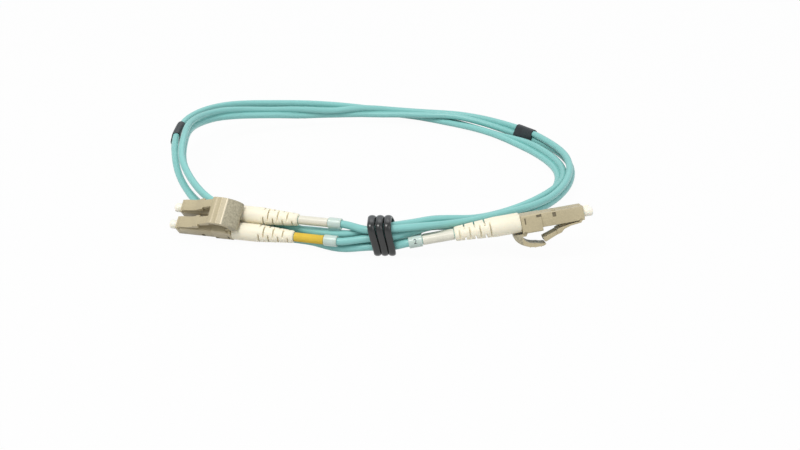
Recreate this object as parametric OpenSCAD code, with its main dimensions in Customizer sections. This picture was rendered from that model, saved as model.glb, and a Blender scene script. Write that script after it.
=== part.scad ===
// Duplex fibre patch cord, coiled twice round and held by a twist tie.
// Two-channel snap-in plug at each end, four single legs, two breakout
// sleeves and one figure-eight zip cord between them. Millimetres, +Z up.
//
// Plug axes: a plug is drawn with its mating face at x = 0 and its body
// towards -x, channel 1 at +y, channel 2 at -y and the latches towards +z.

/* [Connector housing] */
// Distance between the two channels of a plug
pitch = 6.25; // [6.2:0.05:6.5]
// Width and height of a housing
housing_w = 4.52; // [4.4:0.04:4.6]
// Length of a housing from its mating face to its shoulder
housing_len = 13.5; // [13:0.25:14.5]
// Width and height of the neck behind the shoulder
neck_w = 4.0; // [3.9:0.05:4.1]
// Length of the neck
neck_len = 2.5; // [2.2:0.1:3]
// Depth of the round recess in the mating face
recess_depth = 4.4; // [4:0.2:5]
// Radius of the round recess
recess_r = 1.6; // [1.55:0.05:1.7]
// Thickness of the wall behind the recess
stop_wall = 1.2; // [1:0.1:1.4]
// Radius of the spring cavity
cavity_r = 1.65; // [1.6:0.05:1.75]
// Distance from the mating face to the hook recess
hook_b = 8.8; // [8.4:0.2:9.2]

/* [Latch and trigger] */
// Radius of a latch knuckle
latch_pin_r = 0.45; // [0.4:0.05:0.5]
// Distance from the mating face to the latch knuckle
latch_pin_b = 1.2; // [1:0.1:1.5]
// Width of a latch head
latch_w = 4.0; // [3.6:0.1:4.2]
// Width of a latch tail
tail_w = 2.8; // [2.2:0.1:3]
// Width of the trigger across both channels
trigger_w = 9.6; // [9:0.2:10]
// Radius of the trigger knuckle
trigger_pin_r = 0.55; // [0.5:0.05:0.6]
// Height of the trigger over the clip
trigger_rise = 4.85; // [4.7:0.05:5]
// Height of the ridges on the trigger
ridge_h = 0.2; // [0.15:0.05:0.3]

/* [Duplex clip] */
// Width of the clip across both channels
clip_w = 11.4; // [11.2:0.1:12]
// Length of the clip
clip_len = 6.6; // [6.4:0.2:7.2]
// Thickness of the clip's rear wall
clip_rear = 1.2; // [1:0.1:1.4]
// Distance from the channel axes down to the clip's underside
clip_down = 2.4; // [2.35:0.05:2.5]
// Distance from the channel axes up to the clip's top
clip_up = 3.4; // [3.2:0.1:3.4]

/* [Ferrule and spring] */
// Radius of a ferrule
ferrule_r = 0.625; // [0.615:0.01:0.635]
// How far a ferrule stands out of the mating face
ferrule_out = 1.4; // [1:0.1:1.8]
// Length of a ferrule
ferrule_len = 8.6; // [8.2:0.2:9]
// Radius of the ferrule's flange
flange_r = 1.45; // [1.35:0.05:1.5]
// Radius of the tube behind the flange
tube_r = 0.8; // [0.78:0.02:0.84]
// Mean radius of the spring
spring_r = 1.15; // [1.1:0.02:1.2]
// Diameter of the spring wire
spring_wire = 0.35; // [0.3:0.05:0.35]
// Number of turns in the spring
spring_turns = 6; // [4:1:7]

/* [Rear body, crimp and boot] */
// Radius of the rear body's stem
stem_r = 1.45; // [1.4:0.05:1.5]
// Length of the rear body's stem
stem_len = 6.1; // [5.6:0.1:6.4]
// Radius of the fibre passage in the rear body
passage_r = 0.6; // [0.55:0.05:0.7]
// Wall of the crimp sleeve
crimp_wall = 0.35; // [0.3:0.05:0.4]
// Length of the crimp sleeve
crimp_len = 7; // [6.6:0.2:7.2]
// Outer radius of the boot's smooth part
boot_r = 2.95; // [2.8:0.05:2.95]
// Length of the boot's smooth part
boot_smooth = 8.1; // [7.8:0.1:8.6]
// Length of the whole boot
boot_len = 21.4; // [20.8:0.2:22]
// Outer radius of the boot's small end
boot_tip_r = 2.0; // [1.9:0.05:2.1]
// Number of rings of slots in the boot
boot_slots = 4; // [3:1:4]
// Width of a boot slot along the cord
slot_w = 1.1; // [0.9:0.1:1.2]

/* [Dust cap] */
// Outer radius of the cap
cap_r = 1.5; // [1.45:0.01:1.52]
// How far the cap goes into the recess
cap_in = 4.2; // [3.8:0.1:4.2]
// How far the cap stands out of the mating face
cap_out = 3.0; // [2.8:0.1:3.4]

/* [Cord] */
// Diameter of one jacket
jacket_d = 2.5; // [2.4:0.05:2.5]
// Distance between the two jackets of the zip cord
jacket_gap = 2.6; // [2.55:0.05:2.6]
// Radius of the bare fibre in its buffer
fibre_r = 0.45; // [0.4:0.05:0.48]
// Length of a label tube
label_len = 10.2; // [9:0.2:10.4]
// Wall of a label tube
label_wall = 0.2; // [0.15:0.05:0.3]
// Length of a number collar
flag_len = 4.4; // [4:0.2:4.6]
// Wall of a number collar
flag_wall = 0.55; // [0.4:0.05:0.55]
// Wall of a breakout sleeve
sleeve_wall = 0.3; // [0.2:0.05:0.35]
// Thickness of the tie wire
tie_d = 1.4; // [1.3:0.1:1.5]
// Width of the tie wire
tie_w = 2.1; // [1.8:0.1:2.2]
// Radius of the coil
coil_r = 67; // [66.5:0.5:67.5]

/* [Hidden] */
$fn = 48;

// Clearances
slip = 0.05;
ferrule_slip = 0.02;
cap_slip = 0.035;
pivot_slip = 0.05;
sleeve_slip = 0.12;
face_gap = 0.05;
cut = 0.5;

// Colours
housing_color = [0.74, 0.69, 0.58];
white_color = [0.93, 0.92, 0.88];
aqua_color = [0.42, 0.78, 0.76];
black_color = [0.06, 0.06, 0.07];

// Where each plug lies: mating face centre, then turn, rise and roll
route_r = 67;
wider = coil_r - route_r;
plug_a = [[-65.6 - wider, 11.2, 5.05], 162.5, -1.4, -41];
plug_b = [[66.6 + wider, -7.6, 14.3], 1, 10.2, 161];

// Distances behind the mating face
wall_b = recess_depth + stop_wall;
neck_b = housing_len + neck_len;
clip_back_b = housing_len + clip_len;
flange_b = wall_b + face_gap;
spigot_b = neck_b - neck_len - 0.2;
body_flange_b = neck_b + face_gap;
stem_b = clip_back_b - clip_rear - face_gap;
stem_end_b = stem_b + stem_len;
crimp_b = clip_back_b + 0.2;
leg_b = stem_end_b + 0.15;
boot_b = clip_back_b + 0.1;
boot_end_b = boot_b + boot_len;
label_b = boot_end_b + 0.2;
flag_b = label_b + label_len + 0.2;
flag_end_b = flag_b + flag_len;
flange_len = 1.95;
spring_b = flange_b + flange_len + face_gap;
spring_end_b = spigot_b - 0.1;
ferrule_end_b = ferrule_len - ferrule_out;
tube_end_b = ferrule_end_b + 2.3;
fibre_b0 = ferrule_end_b + 1.3;
jacket_r = jacket_d / 2;
leg_hole_r = jacket_r + slip;
crimp_in_r = stem_r + slip;
crimp_out_r = crimp_in_r + crimp_wall;
trigger_pin_b = clip_back_b - 0.9;
latch_pin_z = housing_w / 2 - 0.1;

// Cord route. A pass is a table of turn angle, radius from the coil's centre,
// height, roll of the pair (90 = on edge) and distance between the two.
coil_x = -2;
coil_y = 59.5 + wider;
pass_a = [
  [-98, 69.5, 7.8, 90, 3], [-86, 69.5, 7.8, 90, 3], [-80, 69.11, 8.23, 66.5, 3],
  [-72, 67.61, 8.21, 30.9, 3], [-62, 66.75, 6.35, 57.8, 3], [-50, 68.27, 5.64, 77.6, 3],
  [-30, 72.31, 4.98, 75.4, 3], [0, 74.54, 4.95, 112.7, 3], [20, 72.38, 4.28, 102.3, 2.6],
  [36, 70.58, 3.53, 52, 2.6], [56, 66.26, 4.68, 4.1, 2.6], [70, 62.51, 4.54, 10.4, 2.6],
  [82, 60.41, 4.85, 31.4, 2.6], [94, 59.67, 5.45, 81, 2.6], [108, 60.28, 5.58, 120.7, 2.6],
  [128, 64.96, 7.87, 43.4, 2.6], [150, 73.09, 11.7, 81.4, 2.6], [180, 68.92, 15.71, 93, 2.6],
  [196, 69.36, 12.63, 75.1, 2.6], [210, 67.46, 7.67, 52.6, 2.6], [220, 65.18, 5.54, 38.6, 2.6],
  [230, 62.2, 4.51, 55.1, 2.6], [241, 60.64, 3.75, 52, 2.6], [252, 61.31, 3.95, 14.1, 2.6],
  [260, 62.99, 4.59, 14.6, 2.6], [266, 64.47, 5.49, 31.4, 2.6], [271, 65.69, 6.69, 60.7, 2.6],
  [276, 66.5, 7.8, 90, 2.6]];
pass_b = [
  [276, 66.5, 7.8, 90, 2.6], [282, 65.12, 7.75, 86.4, 2.6], [290, 63.61, 7.4, 82.8, 2.6],
  [305, 63.7, 5.24, 41.2, 2.6], [330, 68.88, 4.88, 62.5, 2.6], [355, 70.9, 3.15, 37.7, 2.6],
  [378, 67.73, 2.34, 48.4, 2.6], [398, 64.45, 1.86, -16.3, 2.6], [420, 64.6, 1.71, -6.3, 2.6],
  [436, 66.52, 1.91, -3.1, 2.6], [448, 68.33, 2.46, 12.1, 2.6], [458, 70.12, 3.22, 37.9, 2.6],
  [468, 72.23, 4.33, 65, 2.6], [482, 75.7, 6.34, 88.5, 2.6], [500, 79.8, 9.68, 81.2, 2.6],
  [515, 79.04, 11.32, 95.7, 2.6], [528, 76.29, 11.06, 107.8, 2.69], [540, 72.99, 9.64, 93.8, 2.8],
  [560, 69.92, 5.43, 63.2, 3], [576, 67.67, 2.45, 26.6, 3], [590, 64.96, 1.44, -0.7, 3],
  [612, 63.38, 1.66, 6.9, 3], [622, 65.68, 1.91, -19.2, 3], [630, 68, 3.25, 0, 3],
  [642, 68.5, 3.25, 0, 3]];
// Turn angles of the sleeves and of the ends of the tied stretch
sleeve_a_t = 29.5;
sleeve_b_t = 527;
sleeve_half_t = 4.2;
tie_in_t = -90;
tie_out_t = 636;
ring_step = 10;

// Tie: centre of the bundle, half width and half height of the wire's loop
tie_x = 3.4;
tie_y = -8.1;
tie_z = 6.4;
tie_half_y = 4.35;
tie_half_z = 5.5;
tie_pitch = 2.5;
tie_turns = 3;
tie_lean = 0.25;
tie_fan = 0.06;
tie_rings = 24;

// ---- curves ----

function knot(K, t, i = 0) = (i >= len(K) - 2 || t < K[i + 1][0]) ? i : knot(K, t, i + 1);
function slope(K, i, j) =
  let (lo = max(i - 1, 0), hi = min(i + 1, len(K) - 1))
  (K[hi][j] - K[lo][j]) / (K[hi][0] - K[lo][0]);
function along(K, t, j) =
  let (i = knot(K, t), h = K[i + 1][0] - K[i][0], u = (t - K[i][0]) / h)
  (2 * pow(u, 3) - 3 * u * u + 1) * K[i][j]
  + (pow(u, 3) - 2 * u * u + u) * h * slope(K, i, j)
  + (3 * u * u - 2 * pow(u, 3)) * K[i + 1][j]
  + (pow(u, 3) - u * u) * h * slope(K, i + 1, j);
function middle(K, t) =
  let (r = along(K, t, 1) + wider)
  [coil_x + r * cos(t), coil_y + r * sin(t), along(K, t, 2)];
function across(K, t) =
  let (a = along(K, t, 3))
  [cos(a) * cos(t), cos(a) * sin(t), sin(a)];
function unit(v) = v / norm(v);
function way(K, t) = unit(middle(K, t + 0.5) - middle(K, t - 0.5));
function square(K, t) = let (a = across(K, t), d = way(K, t)) unit(a - (a * d) * d);
function strand(K, t, side) = middle(K, t) + side * along(K, t, 4) / 2 * square(K, t);
function heading(P, i) = unit(P[min(i + 1, len(P) - 1)] - P[max(i - 1, 0)]);
function bezier(a, b, c, d, u) =
  pow(1 - u, 3) * a + 3 * u * pow(1 - u, 2) * b + 3 * u * u * (1 - u) * c + pow(u, 3) * d;

// One ring of a round tube, square to the path
function round_ring(p, dir, r, sides) =
  let (side = unit(cross(dir, [0, 0, 1])), up = cross(side, dir))
  [for (k = [0:sides - 1]) p + r * (cos(360 * k / sides) * side + sin(360 * k / sides) * up)];

// Closed solid through a list of rings with equal counts of points
module skin(rings) {
  n = len(rings[0]);
  m = len(rings);
  points = concat([for (r = rings) for (p = r) p],
    [for (r = [rings[0], rings[m - 1]]) [for (s = r) 1] * r / n]);
  walls = [for (i = [0:m - 2]) for (k = [0:n - 1])
    let (a = i * n + k, b = i * n + (k + 1) % n, c = a + n, d = b + n)
    each [[a, b, d], [a, d, c]]];
  caps = [for (k = [0:n - 1]) each [
    [n * m, (k + 1) % n, k],
    [n * m + 1, (m - 1) * n + k, (m - 1) * n + (k + 1) % n]]];
  polyhedron(points, [for (f = concat(walls, caps)) [f[0], f[2], f[1]]]);
}

// Round tube along points, its ends square to the directions given
module tube_along(P, r, sides, first, last) {
  n = len(P) - 1;
  skin([for (i = [0:n])
    round_ring(P[i], i == 0 ? first : i == n ? last : heading(P, i), r, sides)]);
}

// ---- places ----

module plug_place(p) {
  translate(p[0]) rotate([0, 0, p[1]]) rotate([0, -p[2], 0]) rotate([p[3], 0, 0]) children();
}
module channel_place(p, ch) {
  plug_place(p) translate([0, ch == 1 ? pitch / 2 : -pitch / 2, 0]) children();
}

// A point of a plug given in the plug's own axes
function turn_x(v, a) = [v[0], v[1] * cos(a) - v[2] * sin(a), v[1] * sin(a) + v[2] * cos(a)];
function turn_y(v, a) = [v[0] * cos(a) + v[2] * sin(a), v[1], v[2] * cos(a) - v[0] * sin(a)];
function turn_z(v, a) = [v[0] * cos(a) - v[1] * sin(a), v[0] * sin(a) + v[1] * cos(a), v[2]];
function plug_dir(p, v) = turn_z(turn_y(turn_x(v, p[3]), -p[2]), p[1]);
function plug_point(p, v) = p[0] + plug_dir(p, v);
function axis_point(p, ch, b) = plug_point(p, [-b, ch == 1 ? pitch / 2 : -pitch / 2, 0]);

// Solid of revolution about the channel axis from [b, r] points
module turned(points) {
  rotate([0, -90, 0]) rotate_extrude() polygon([for (p = points) [p[1], p[0]]]);
}
// Round hole or shaft along the channel axis from b0 to b1
module rod(r, b0, b1) {
  translate([-b0, 0, 0]) rotate([0, -90, 0]) cylinder(r = r, h = b1 - b0);
}
// Block from b0 to b1, square to the channel
module block(b0, b1, w, z0, z1) {
  translate([-b1, -w / 2, z0]) cube([b1 - b0, w, z1 - z0]);
}
// Profile in b and z, drawn across a width
module across_plug(w, points) {
  translate([0, w / 2, 0]) rotate([90, 0, 0]) linear_extrude(w)
    polygon([for (p = points) [-p[0], p[1]]]);
}

// ---- one channel ----

module housing(p, ch) {
  half = housing_w / 2;
  edge = 0.3;
  color(housing_color) channel_place(p, ch) difference() {
    union() {
      translate([-housing_len, 0, 0]) rotate([90, 0, 90]) linear_extrude(housing_len) polygon([
        [-half, -half + edge], [-half + edge, -half], [half - edge, -half], [half, -half + edge],
        [half, half - edge], [half - edge, half], [-half + edge, half], [-half, half - edge]]);
      block(housing_len - cut, neck_b, neck_w, -neck_w / 2, neck_w / 2);
    }
    rod(recess_r, -cut, recess_depth);
    rod(ferrule_r + 0.225, recess_depth - cut, wall_b + cut);
    rod(cavity_r, wall_b, neck_b + cut);
    translate([-latch_pin_b, -housing_w, latch_pin_z]) rotate([-90, 0, 0])
      cylinder(r = latch_pin_r + pivot_slip, h = 2 * housing_w);
    for (s = [-1, 1]) translate([-hook_b - 1.1, s > 0 ? half - 0.3 : -half - cut, -half + 0.4])
      cube([1.1, 0.3 + cut, 1.4]);
    block(hook_b, hook_b + 1.1, 2.4, -half - cut, -half + 0.35);
  }
}

module latch(p, ch) {
  head_b = 8.4;
  color(housing_color) channel_place(p, ch) union() {
    translate([-latch_pin_b, latch_w / 2, latch_pin_z]) rotate([90, 0, 0])
      cylinder(r = latch_pin_r, h = latch_w);
    across_plug(latch_w, [
      [latch_pin_b - 0.25, latch_pin_z + 0.05], [latch_pin_b + 0.35, latch_pin_z + 0.05],
      [latch_pin_b + 0.4, latch_pin_z + 0.28], [3, latch_pin_z + 0.42], [4.8, latch_pin_z + 0.62],
      [head_b, latch_pin_z + 1.3], [head_b + 0.9, latch_pin_z + 1.75], [head_b + 0.9, latch_pin_z + 3.26],
      [7.9, latch_pin_z + 2.84], [6.9, latch_pin_z + 1.9], [4.8, latch_pin_z + 1.2],
      [latch_pin_b, latch_pin_z + 0.79]]);
    across_plug(tail_w, [
      [head_b, latch_pin_z + 1.5], [head_b + 0.9, latch_pin_z + 1.95], [13.9, latch_pin_z + 3.5],
      [13.6, latch_pin_z + 4.84], [13.2, latch_pin_z + 4.9], [9.4, latch_pin_z + 3.34],
      [head_b, latch_pin_z + 3]]);
  }
}

module ferrule(p, ch) {
  color([0.96, 0.96, 0.94]) channel_place(p, ch) difference() {
    turned([[-ferrule_out, 0], [-ferrule_out, ferrule_r - 0.12], [-ferrule_out + 0.25, ferrule_r],
      [ferrule_end_b, ferrule_r], [ferrule_end_b, 0]]);
    rod(0.2, ferrule_end_b - 1, ferrule_end_b + cut);
  }
}

module ferrule_flange(p, ch) {
  hole = ferrule_r + ferrule_slip;
  color([0.8, 0.8, 0.82]) channel_place(p, ch) turned([
    [flange_b, hole], [flange_b, hole + 0.3], [flange_b + 0.75, flange_r],
    [flange_b + flange_len, flange_r], [flange_b + flange_len, tube_r],
    [tube_end_b, tube_r], [tube_end_b, fibre_r + slip],
    [ferrule_end_b, fibre_r + slip], [ferrule_end_b, hole]]);
}

// Compression spring with closed ends, one wire from end to end
module spring(p, ch) {
  wire = spring_wire / 2;
  rise = spring_end_b - spring_b - spring_wire;
  steps = 8 * spring_turns;
  points = [for (i = [0:steps]) let (a = 360 * i / 8)
    [-(spring_b + wire + rise * i / steps), spring_r * cos(a), spring_r * sin(a)]];
  rings = [for (i = [0:steps]) let (
      out = unit([0, points[i][1], points[i][2]]), dir = heading(points, i), side = unit(cross(dir, out)))
    [for (k = [0:5]) points[i] + wire * (cos(60 * k) * out + sin(60 * k) * side)]];
  color([0.72, 0.72, 0.74]) channel_place(p, ch) skin(rings);
}

module rear_body(p, ch) {
  spigot_r = cavity_r - slip;
  rib = 0.1;
  color([0.76, 0.73, 0.66]) channel_place(p, ch) difference() {
    union() {
      rod(spigot_r, spigot_b, body_flange_b + cut);
      block(body_flange_b, stem_b, neck_w - 0.1, -neck_w / 2 + 0.05, neck_w / 2 - 0.05);
      turned(concat([[stem_b - cut, 0], [stem_b - cut, stem_r]],
        [for (k = [0:4]) each [[stem_b + 1.6 + 0.9 * k, stem_r], [stem_b + 1.75 + 0.9 * k, stem_r - rib],
          [stem_b + 2.05 + 0.9 * k, stem_r - rib], [stem_b + 2.2 + 0.9 * k, stem_r]]],
        [[stem_end_b, stem_r], [stem_end_b, 0]]));
    }
    rod(passage_r, spigot_b - cut, stem_end_b + cut);
    rod(tube_r + 0.3, spigot_b - cut, spigot_b + 1.2);
  }
}

module crimp_sleeve(p, ch) {
  color([0.78, 0.78, 0.8]) channel_place(p, ch) difference() {
    rod(crimp_out_r, crimp_b, crimp_b + crimp_len);
    rod(crimp_in_r, crimp_b - cut, crimp_b + crimp_len + cut);
  }
}

module boot(p, ch) {
  smooth_end = boot_b + boot_smooth;
  slot_pitch = (boot_len - boot_smooth) / boot_slots;
  hold = 1.35;
  color(white_color) channel_place(p, ch) difference() {
    turned([[boot_b, 0], [boot_b, boot_r - 0.2], [boot_b + 0.2, boot_r], [smooth_end, boot_r],
      [boot_end_b - 0.4, boot_tip_r + 0.05], [boot_end_b, boot_tip_r - 0.3], [boot_end_b, 0]]);
    rod(crimp_out_r + slip, boot_b - cut, crimp_b + crimp_len + 0.3);
    rod(leg_hole_r, boot_b, boot_end_b + cut);
    for (k = [0:boot_slots - 1], s = [-1, 1]) {
      b = smooth_end + 1.4 + slot_pitch * k;
      translate([-b - slot_w / 2, s > 0 ? hold : -hold - boot_r, -boot_r])
        cube([slot_w, boot_r, 2 * boot_r]);
      if (k < boot_slots - 1)
        translate([-b - slot_pitch / 2 - slot_w / 2, -boot_r, s > 0 ? hold : -hold - boot_r])
          cube([slot_w, 2 * boot_r, boot_r]);
    }
  }
}

module cap(p, ch) {
  color(white_color) channel_place(p, ch) difference() {
    turned([[-cap_out, 0], [-cap_out, cap_r - 0.3], [-cap_out + 0.3, cap_r], [cap_in - 0.3, cap_r],
      [cap_in, cap_r - 0.2], [cap_in, 0]]);
    rod(ferrule_r + cap_slip, -ferrule_out - 0.5, cap_in + cut);
  }
}

module label(p, ch) {
  tint = ch == 1 && p == plug_a ? [0.88, 0.72, 0.25] : [0.9, 0.9, 0.86];
  color(tint) channel_place(p, ch) difference() {
    rod(leg_hole_r + label_wall, label_b, label_b + label_len);
    rod(leg_hole_r, label_b - cut, label_b + label_len + cut);
  }
}

module flag(p, ch) {
  color([0.95, 0.95, 0.93]) channel_place(p, ch) difference() {
    rod(leg_hole_r + flag_wall, flag_b, flag_end_b);
    rod(leg_hole_r, flag_b - cut, flag_end_b + cut);
  }
}

// ---- one plug ----

module clip(p) {
  half = clip_w / 2;
  low = -clip_down;
  edge = 0.5;
  room = neck_w + 0.1;
  color(housing_color) plug_place(p) difference() {
    translate([-clip_back_b, 0, 0]) rotate([90, 0, 90]) linear_extrude(clip_len) polygon([
      [-half, low + edge], [-half + edge, low], [half - edge, low], [half, low + edge],
      [half, clip_up - edge], [half - edge, clip_up], [-half + edge, clip_up], [-half, clip_up - edge]]);
    for (s = [-1, 1]) {
      translate([0, s * pitch / 2, 0]) {
        block(housing_len - cut, clip_back_b - clip_rear, room, -room / 2, room / 2);
        rod(stem_r + 0.3, clip_back_b - clip_rear - cut, clip_back_b + cut);
      }
      translate([-clip_back_b + clip_rear - 0.1, s > 0 ? half - 0.3 : -half - cut, -1.5])
        cube([0.4, 0.3 + cut, 2]);
      translate([-housing_len - 1.6, s > 0 ? half - 0.35 : -half - cut, -2])
        cube([1.6 + cut, 0.35 + cut, 0.8]);
    }
    translate([-trigger_pin_b, -clip_w, clip_up]) rotate([-90, 0, 0])
      cylinder(r = trigger_pin_r + pivot_slip, h = 2 * clip_w);
  }
}

// Top of the trigger in b and z, from its hinge strip over the back to the lip
trigger_top = [[2.9, 0.05], [3.55, 0.05], [3.8, 0.4], [3.85, 1], [3.65, 1.6], [3.2, 2.2], [2.5, 2.9],
  [1.5, 3.6], [0.25, 4.2], [-0.4, 4.45], [-0.6, 4.55 + ridge_h], [-0.9, 4.6], [-2.1, 4.78],
  [-2.3, 4.8 + ridge_h], [-2.6, 4.85], [-3.9, 4.85], [-4.1, 4.85 + ridge_h], [-4.4, 4.85],
  [-4.85, 4.85], [-5.5, 4.65], [-5.9, 4.3]];
trigger_under = [[-5.7, 4.1], [-4.6, 3.95], [-3.9, 3.4], [-3.2, 2.95], [-2.3, 2.8], [-0.7, 2.2],
  [0.5, 1.5], [1.1, 0.9], [-0.15, 0.9], [-0.15, 0.05]];
// Height of the crest in the two lists above
drawn_rise = 4.85;
module trigger(p) {
  stretch = trigger_rise / drawn_rise;
  color(housing_color) plug_place(p) union() {
    translate([-trigger_pin_b, trigger_w / 2, clip_up]) rotate([90, 0, 0])
      cylinder(r = trigger_pin_r, h = trigger_w);
    across_plug(trigger_w, [for (q = concat(trigger_top, trigger_under))
      [trigger_pin_b + q[0], clip_up + q[1] * stretch]]);
  }
}

module fibre(p) {
  color([0.9, 0.9, 0.85]) for (ch = [1, 2]) channel_place(p, ch)
    rod(fibre_r, fibre_b0, stem_end_b + 0.05);
}

// ---- cord ----

leg_a_turns = concat([tie_in_t, tie_in_t + 4, tie_in_t + 8, -76], [for (t = [-70:ring_step:10]) t],
  [18, sleeve_a_t - sleeve_half_t, sleeve_a_t]);
leg_b_turns = concat([sleeve_b_t, sleeve_b_t + sleeve_half_t, 536],
  [for (t = [540:ring_step:610]) t], [616, 622, 626, 630, tie_out_t - 3, tie_out_t]);
zip_a_turns = concat([sleeve_a_t, sleeve_a_t + sleeve_half_t], [for (t = [40:ring_step:250]) t],
  [256, 261, 266, 271, 276]);
zip_b_turns = concat([280, 284], [for (t = [290:ring_step:510]) t],
  [517, sleeve_b_t - sleeve_half_t, sleeve_b_t]);

// Leg from inside the crimp sleeve, straight to the collar, then to the tie
function leg_head(p, ch) = [for (b = [leg_b, boot_end_b, flag_end_b + 0.3]) axis_point(p, ch, b)];
function joining(a, da, d, dd, reach) =
  [for (u = [0.2, 0.4, 0.6, 0.8]) bezier(a, a + reach * da, d - reach * dd, d, u)];
// Channel 1 of plug A takes the lower row at the tie, channel 2 the upper
function leg_a_side(ch) = ch == 1 ? -1 : 1;
function leg_b_side(ch) = ch == 1 ? 1 : -1;
function leg_a_path(ch) =
  let (head = leg_head(plug_a, ch), side = leg_a_side(ch),
    tail = [for (t = leg_a_turns) strand(pass_a, t, side)],
    to = unit(strand(pass_a, tie_in_t + 1, side) - strand(pass_a, tie_in_t - 1, side)))
  concat(head, joining(head[2], plug_dir(plug_a, [-1, 0, 0]), tail[0], to, 2.6), tail);
function leg_b_path(ch) =
  let (head = leg_head(plug_b, ch), side = leg_b_side(ch),
    tail = [for (t = leg_b_turns) strand(pass_b, t, side)], last = tail[len(tail) - 1],
    to = unit(strand(pass_b, tie_out_t + 1, side) - strand(pass_b, tie_out_t - 1, side)),
    link = joining(last, to, head[2], -plug_dir(plug_b, [-1, 0, 0]), 1.2))
  concat(tail, [link[0], link[2]], [head[2], head[1], head[0]]);

// Figure-eight outline of the zip cord, two six-sided jackets and the web
function zip_ring(K, t) =
  let (m = middle(K, t), u = square(K, t), v = cross(u, way(K, t)), h = jacket_gap / 2,
    outline = [for (q = [-120:60:120]) [h + jacket_r * cos(q), jacket_r * sin(q)],
      [0, 0.35], for (q = [60:60:300]) [-h + jacket_r * cos(q), jacket_r * sin(q)], [0, -0.35]])
  [for (o = outline) m + o[0] * u + o[1] * v];

module leg(path, first, last) {
  color(aqua_color) tube_along(path, jacket_r, 8, first, last);
}
module duplex_cord() {
  color(aqua_color) skin(concat([for (t = zip_a_turns) zip_ring(pass_a, t)],
    [for (t = zip_b_turns) zip_ring(pass_b, t)]));
}

// Breakout sleeve, a flat oval tube along the cord's own bend
function oval_ring(K, t, r) =
  let (m = middle(K, t), u = square(K, t), v = cross(u, way(K, t)), h = jacket_gap / 2)
  [for (q = [-90:30:90]) m + (h + r * cos(q)) * u + r * sin(q) * v,
    for (q = [90:30:270]) m + (-h + r * cos(q)) * u + r * sin(q) * v];
// Closed solid between an outer and an inner list of rings
module pipe_skin(outer, inner) {
  n = len(outer[0]);
  m = len(outer);
  points = concat([for (r = outer) for (p = r) p], [for (r = inner) for (p = r) p]);
  out_walls = [for (i = [0:m - 2]) for (k = [0:n - 1])
    let (a = i * n + k, b = i * n + (k + 1) % n, c = a + n, d = b + n)
    each [[a, d, b], [a, c, d]]];
  in_walls = [for (f = out_walls) [for (v = [f[0], f[2], f[1]]) v + n * m]];
  rims = [for (e = [0, m - 1]) for (k = [0:n - 1])
    let (a = e * n + k, b = e * n + (k + 1) % n, c = a + n * m, d = b + n * m)
    each e == 0 ? [[a, b, d], [a, d, c]] : [[a, d, b], [a, c, d]]];
  polyhedron(points, concat(out_walls, in_walls, rims));
}
module sleeve(K, mid) {
  hole = jacket_r + sleeve_slip;
  turns = [mid - sleeve_half_t, mid, mid + sleeve_half_t];
  color(black_color) pipe_skin([for (t = turns) oval_ring(K, t, hole + sleeve_wall)],
    [for (t = turns) oval_ring(K, t, hole)]);
}

// Tie wire, wound round the bundle and leaning with the cut ends in front
function bulge(c) = sign(c) * pow(abs(c), 0.48);
function tie_point(a) =
  let (z = tie_half_z * bulge(sin(a)), y = tie_half_y * bulge(cos(a)))
  [tie_x + tie_pitch * (a / 360 - tie_turns / 2) * (1 + tie_fan * z / tie_half_z) - tie_lean * z,
    tie_y - y, tie_z + z];
tie_path = [for (i = [-7:tie_rings * (tie_turns - 0.5)]) tie_point(360 * i / tie_rings)];
module tie() {
  color(black_color) skin([for (i = [0:len(tie_path) - 1])
    let (p = tie_path[i], dir = heading(tie_path, i))
    let (side = unit(cross(dir, [1, 0, 0])), up = cross(side, dir))
    [for (k = [0:7]) p + tie_d / 2 * cos(45 * k) * side + tie_w / 2 * sin(45 * k) * up]]);
}

// Least gaps of the wound pieces, measured between points of their paths
function nearest(P, Q) = min([for (p = P) min([for (q = Q) norm(p - q)])]);
function zip_points(side) = concat(
  [for (t = [34:3:276]) middle(pass_a, t) + side * jacket_gap / 2 * across(pass_a, t)],
  [for (t = [279:3:525]) middle(pass_b, t) + side * jacket_gap / 2 * across(pass_b, t)]);
function self_gap(P, skip) =
  min([for (i = [0:len(P) - 1]) for (j = [i + skip:1:len(P) - 1]) norm(P[i] - P[j])]);
zip_gap = min([for (s = [-1, 1], q = [-1, 1])
  let (P = zip_points(s), Q = zip_points(q))
  min([for (i = [0:len(P) - 61]) for (j = [i + 60:1:len(Q) - 1]) norm(P[i] - Q[j])])]) - jacket_d;
echo(zip_to_itself = zip_gap);
echo(tie_to_itself = self_gap(tie_path, tie_rings / 2) - tie_w);
echo(leg_a1_length = path_length(leg_a_path(1)), leg_b1_length = path_length(leg_b_path(1)));
echo(zip_length = path_length(concat(
  [for (t = zip_a_turns) middle(pass_a, t)], [for (t = zip_b_turns) middle(pass_b, t)])));
function path_length(P, i = 0) = i >= len(P) - 1 ? 0 : norm(P[i + 1] - P[i]) + path_length(P, i + 1);

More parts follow.
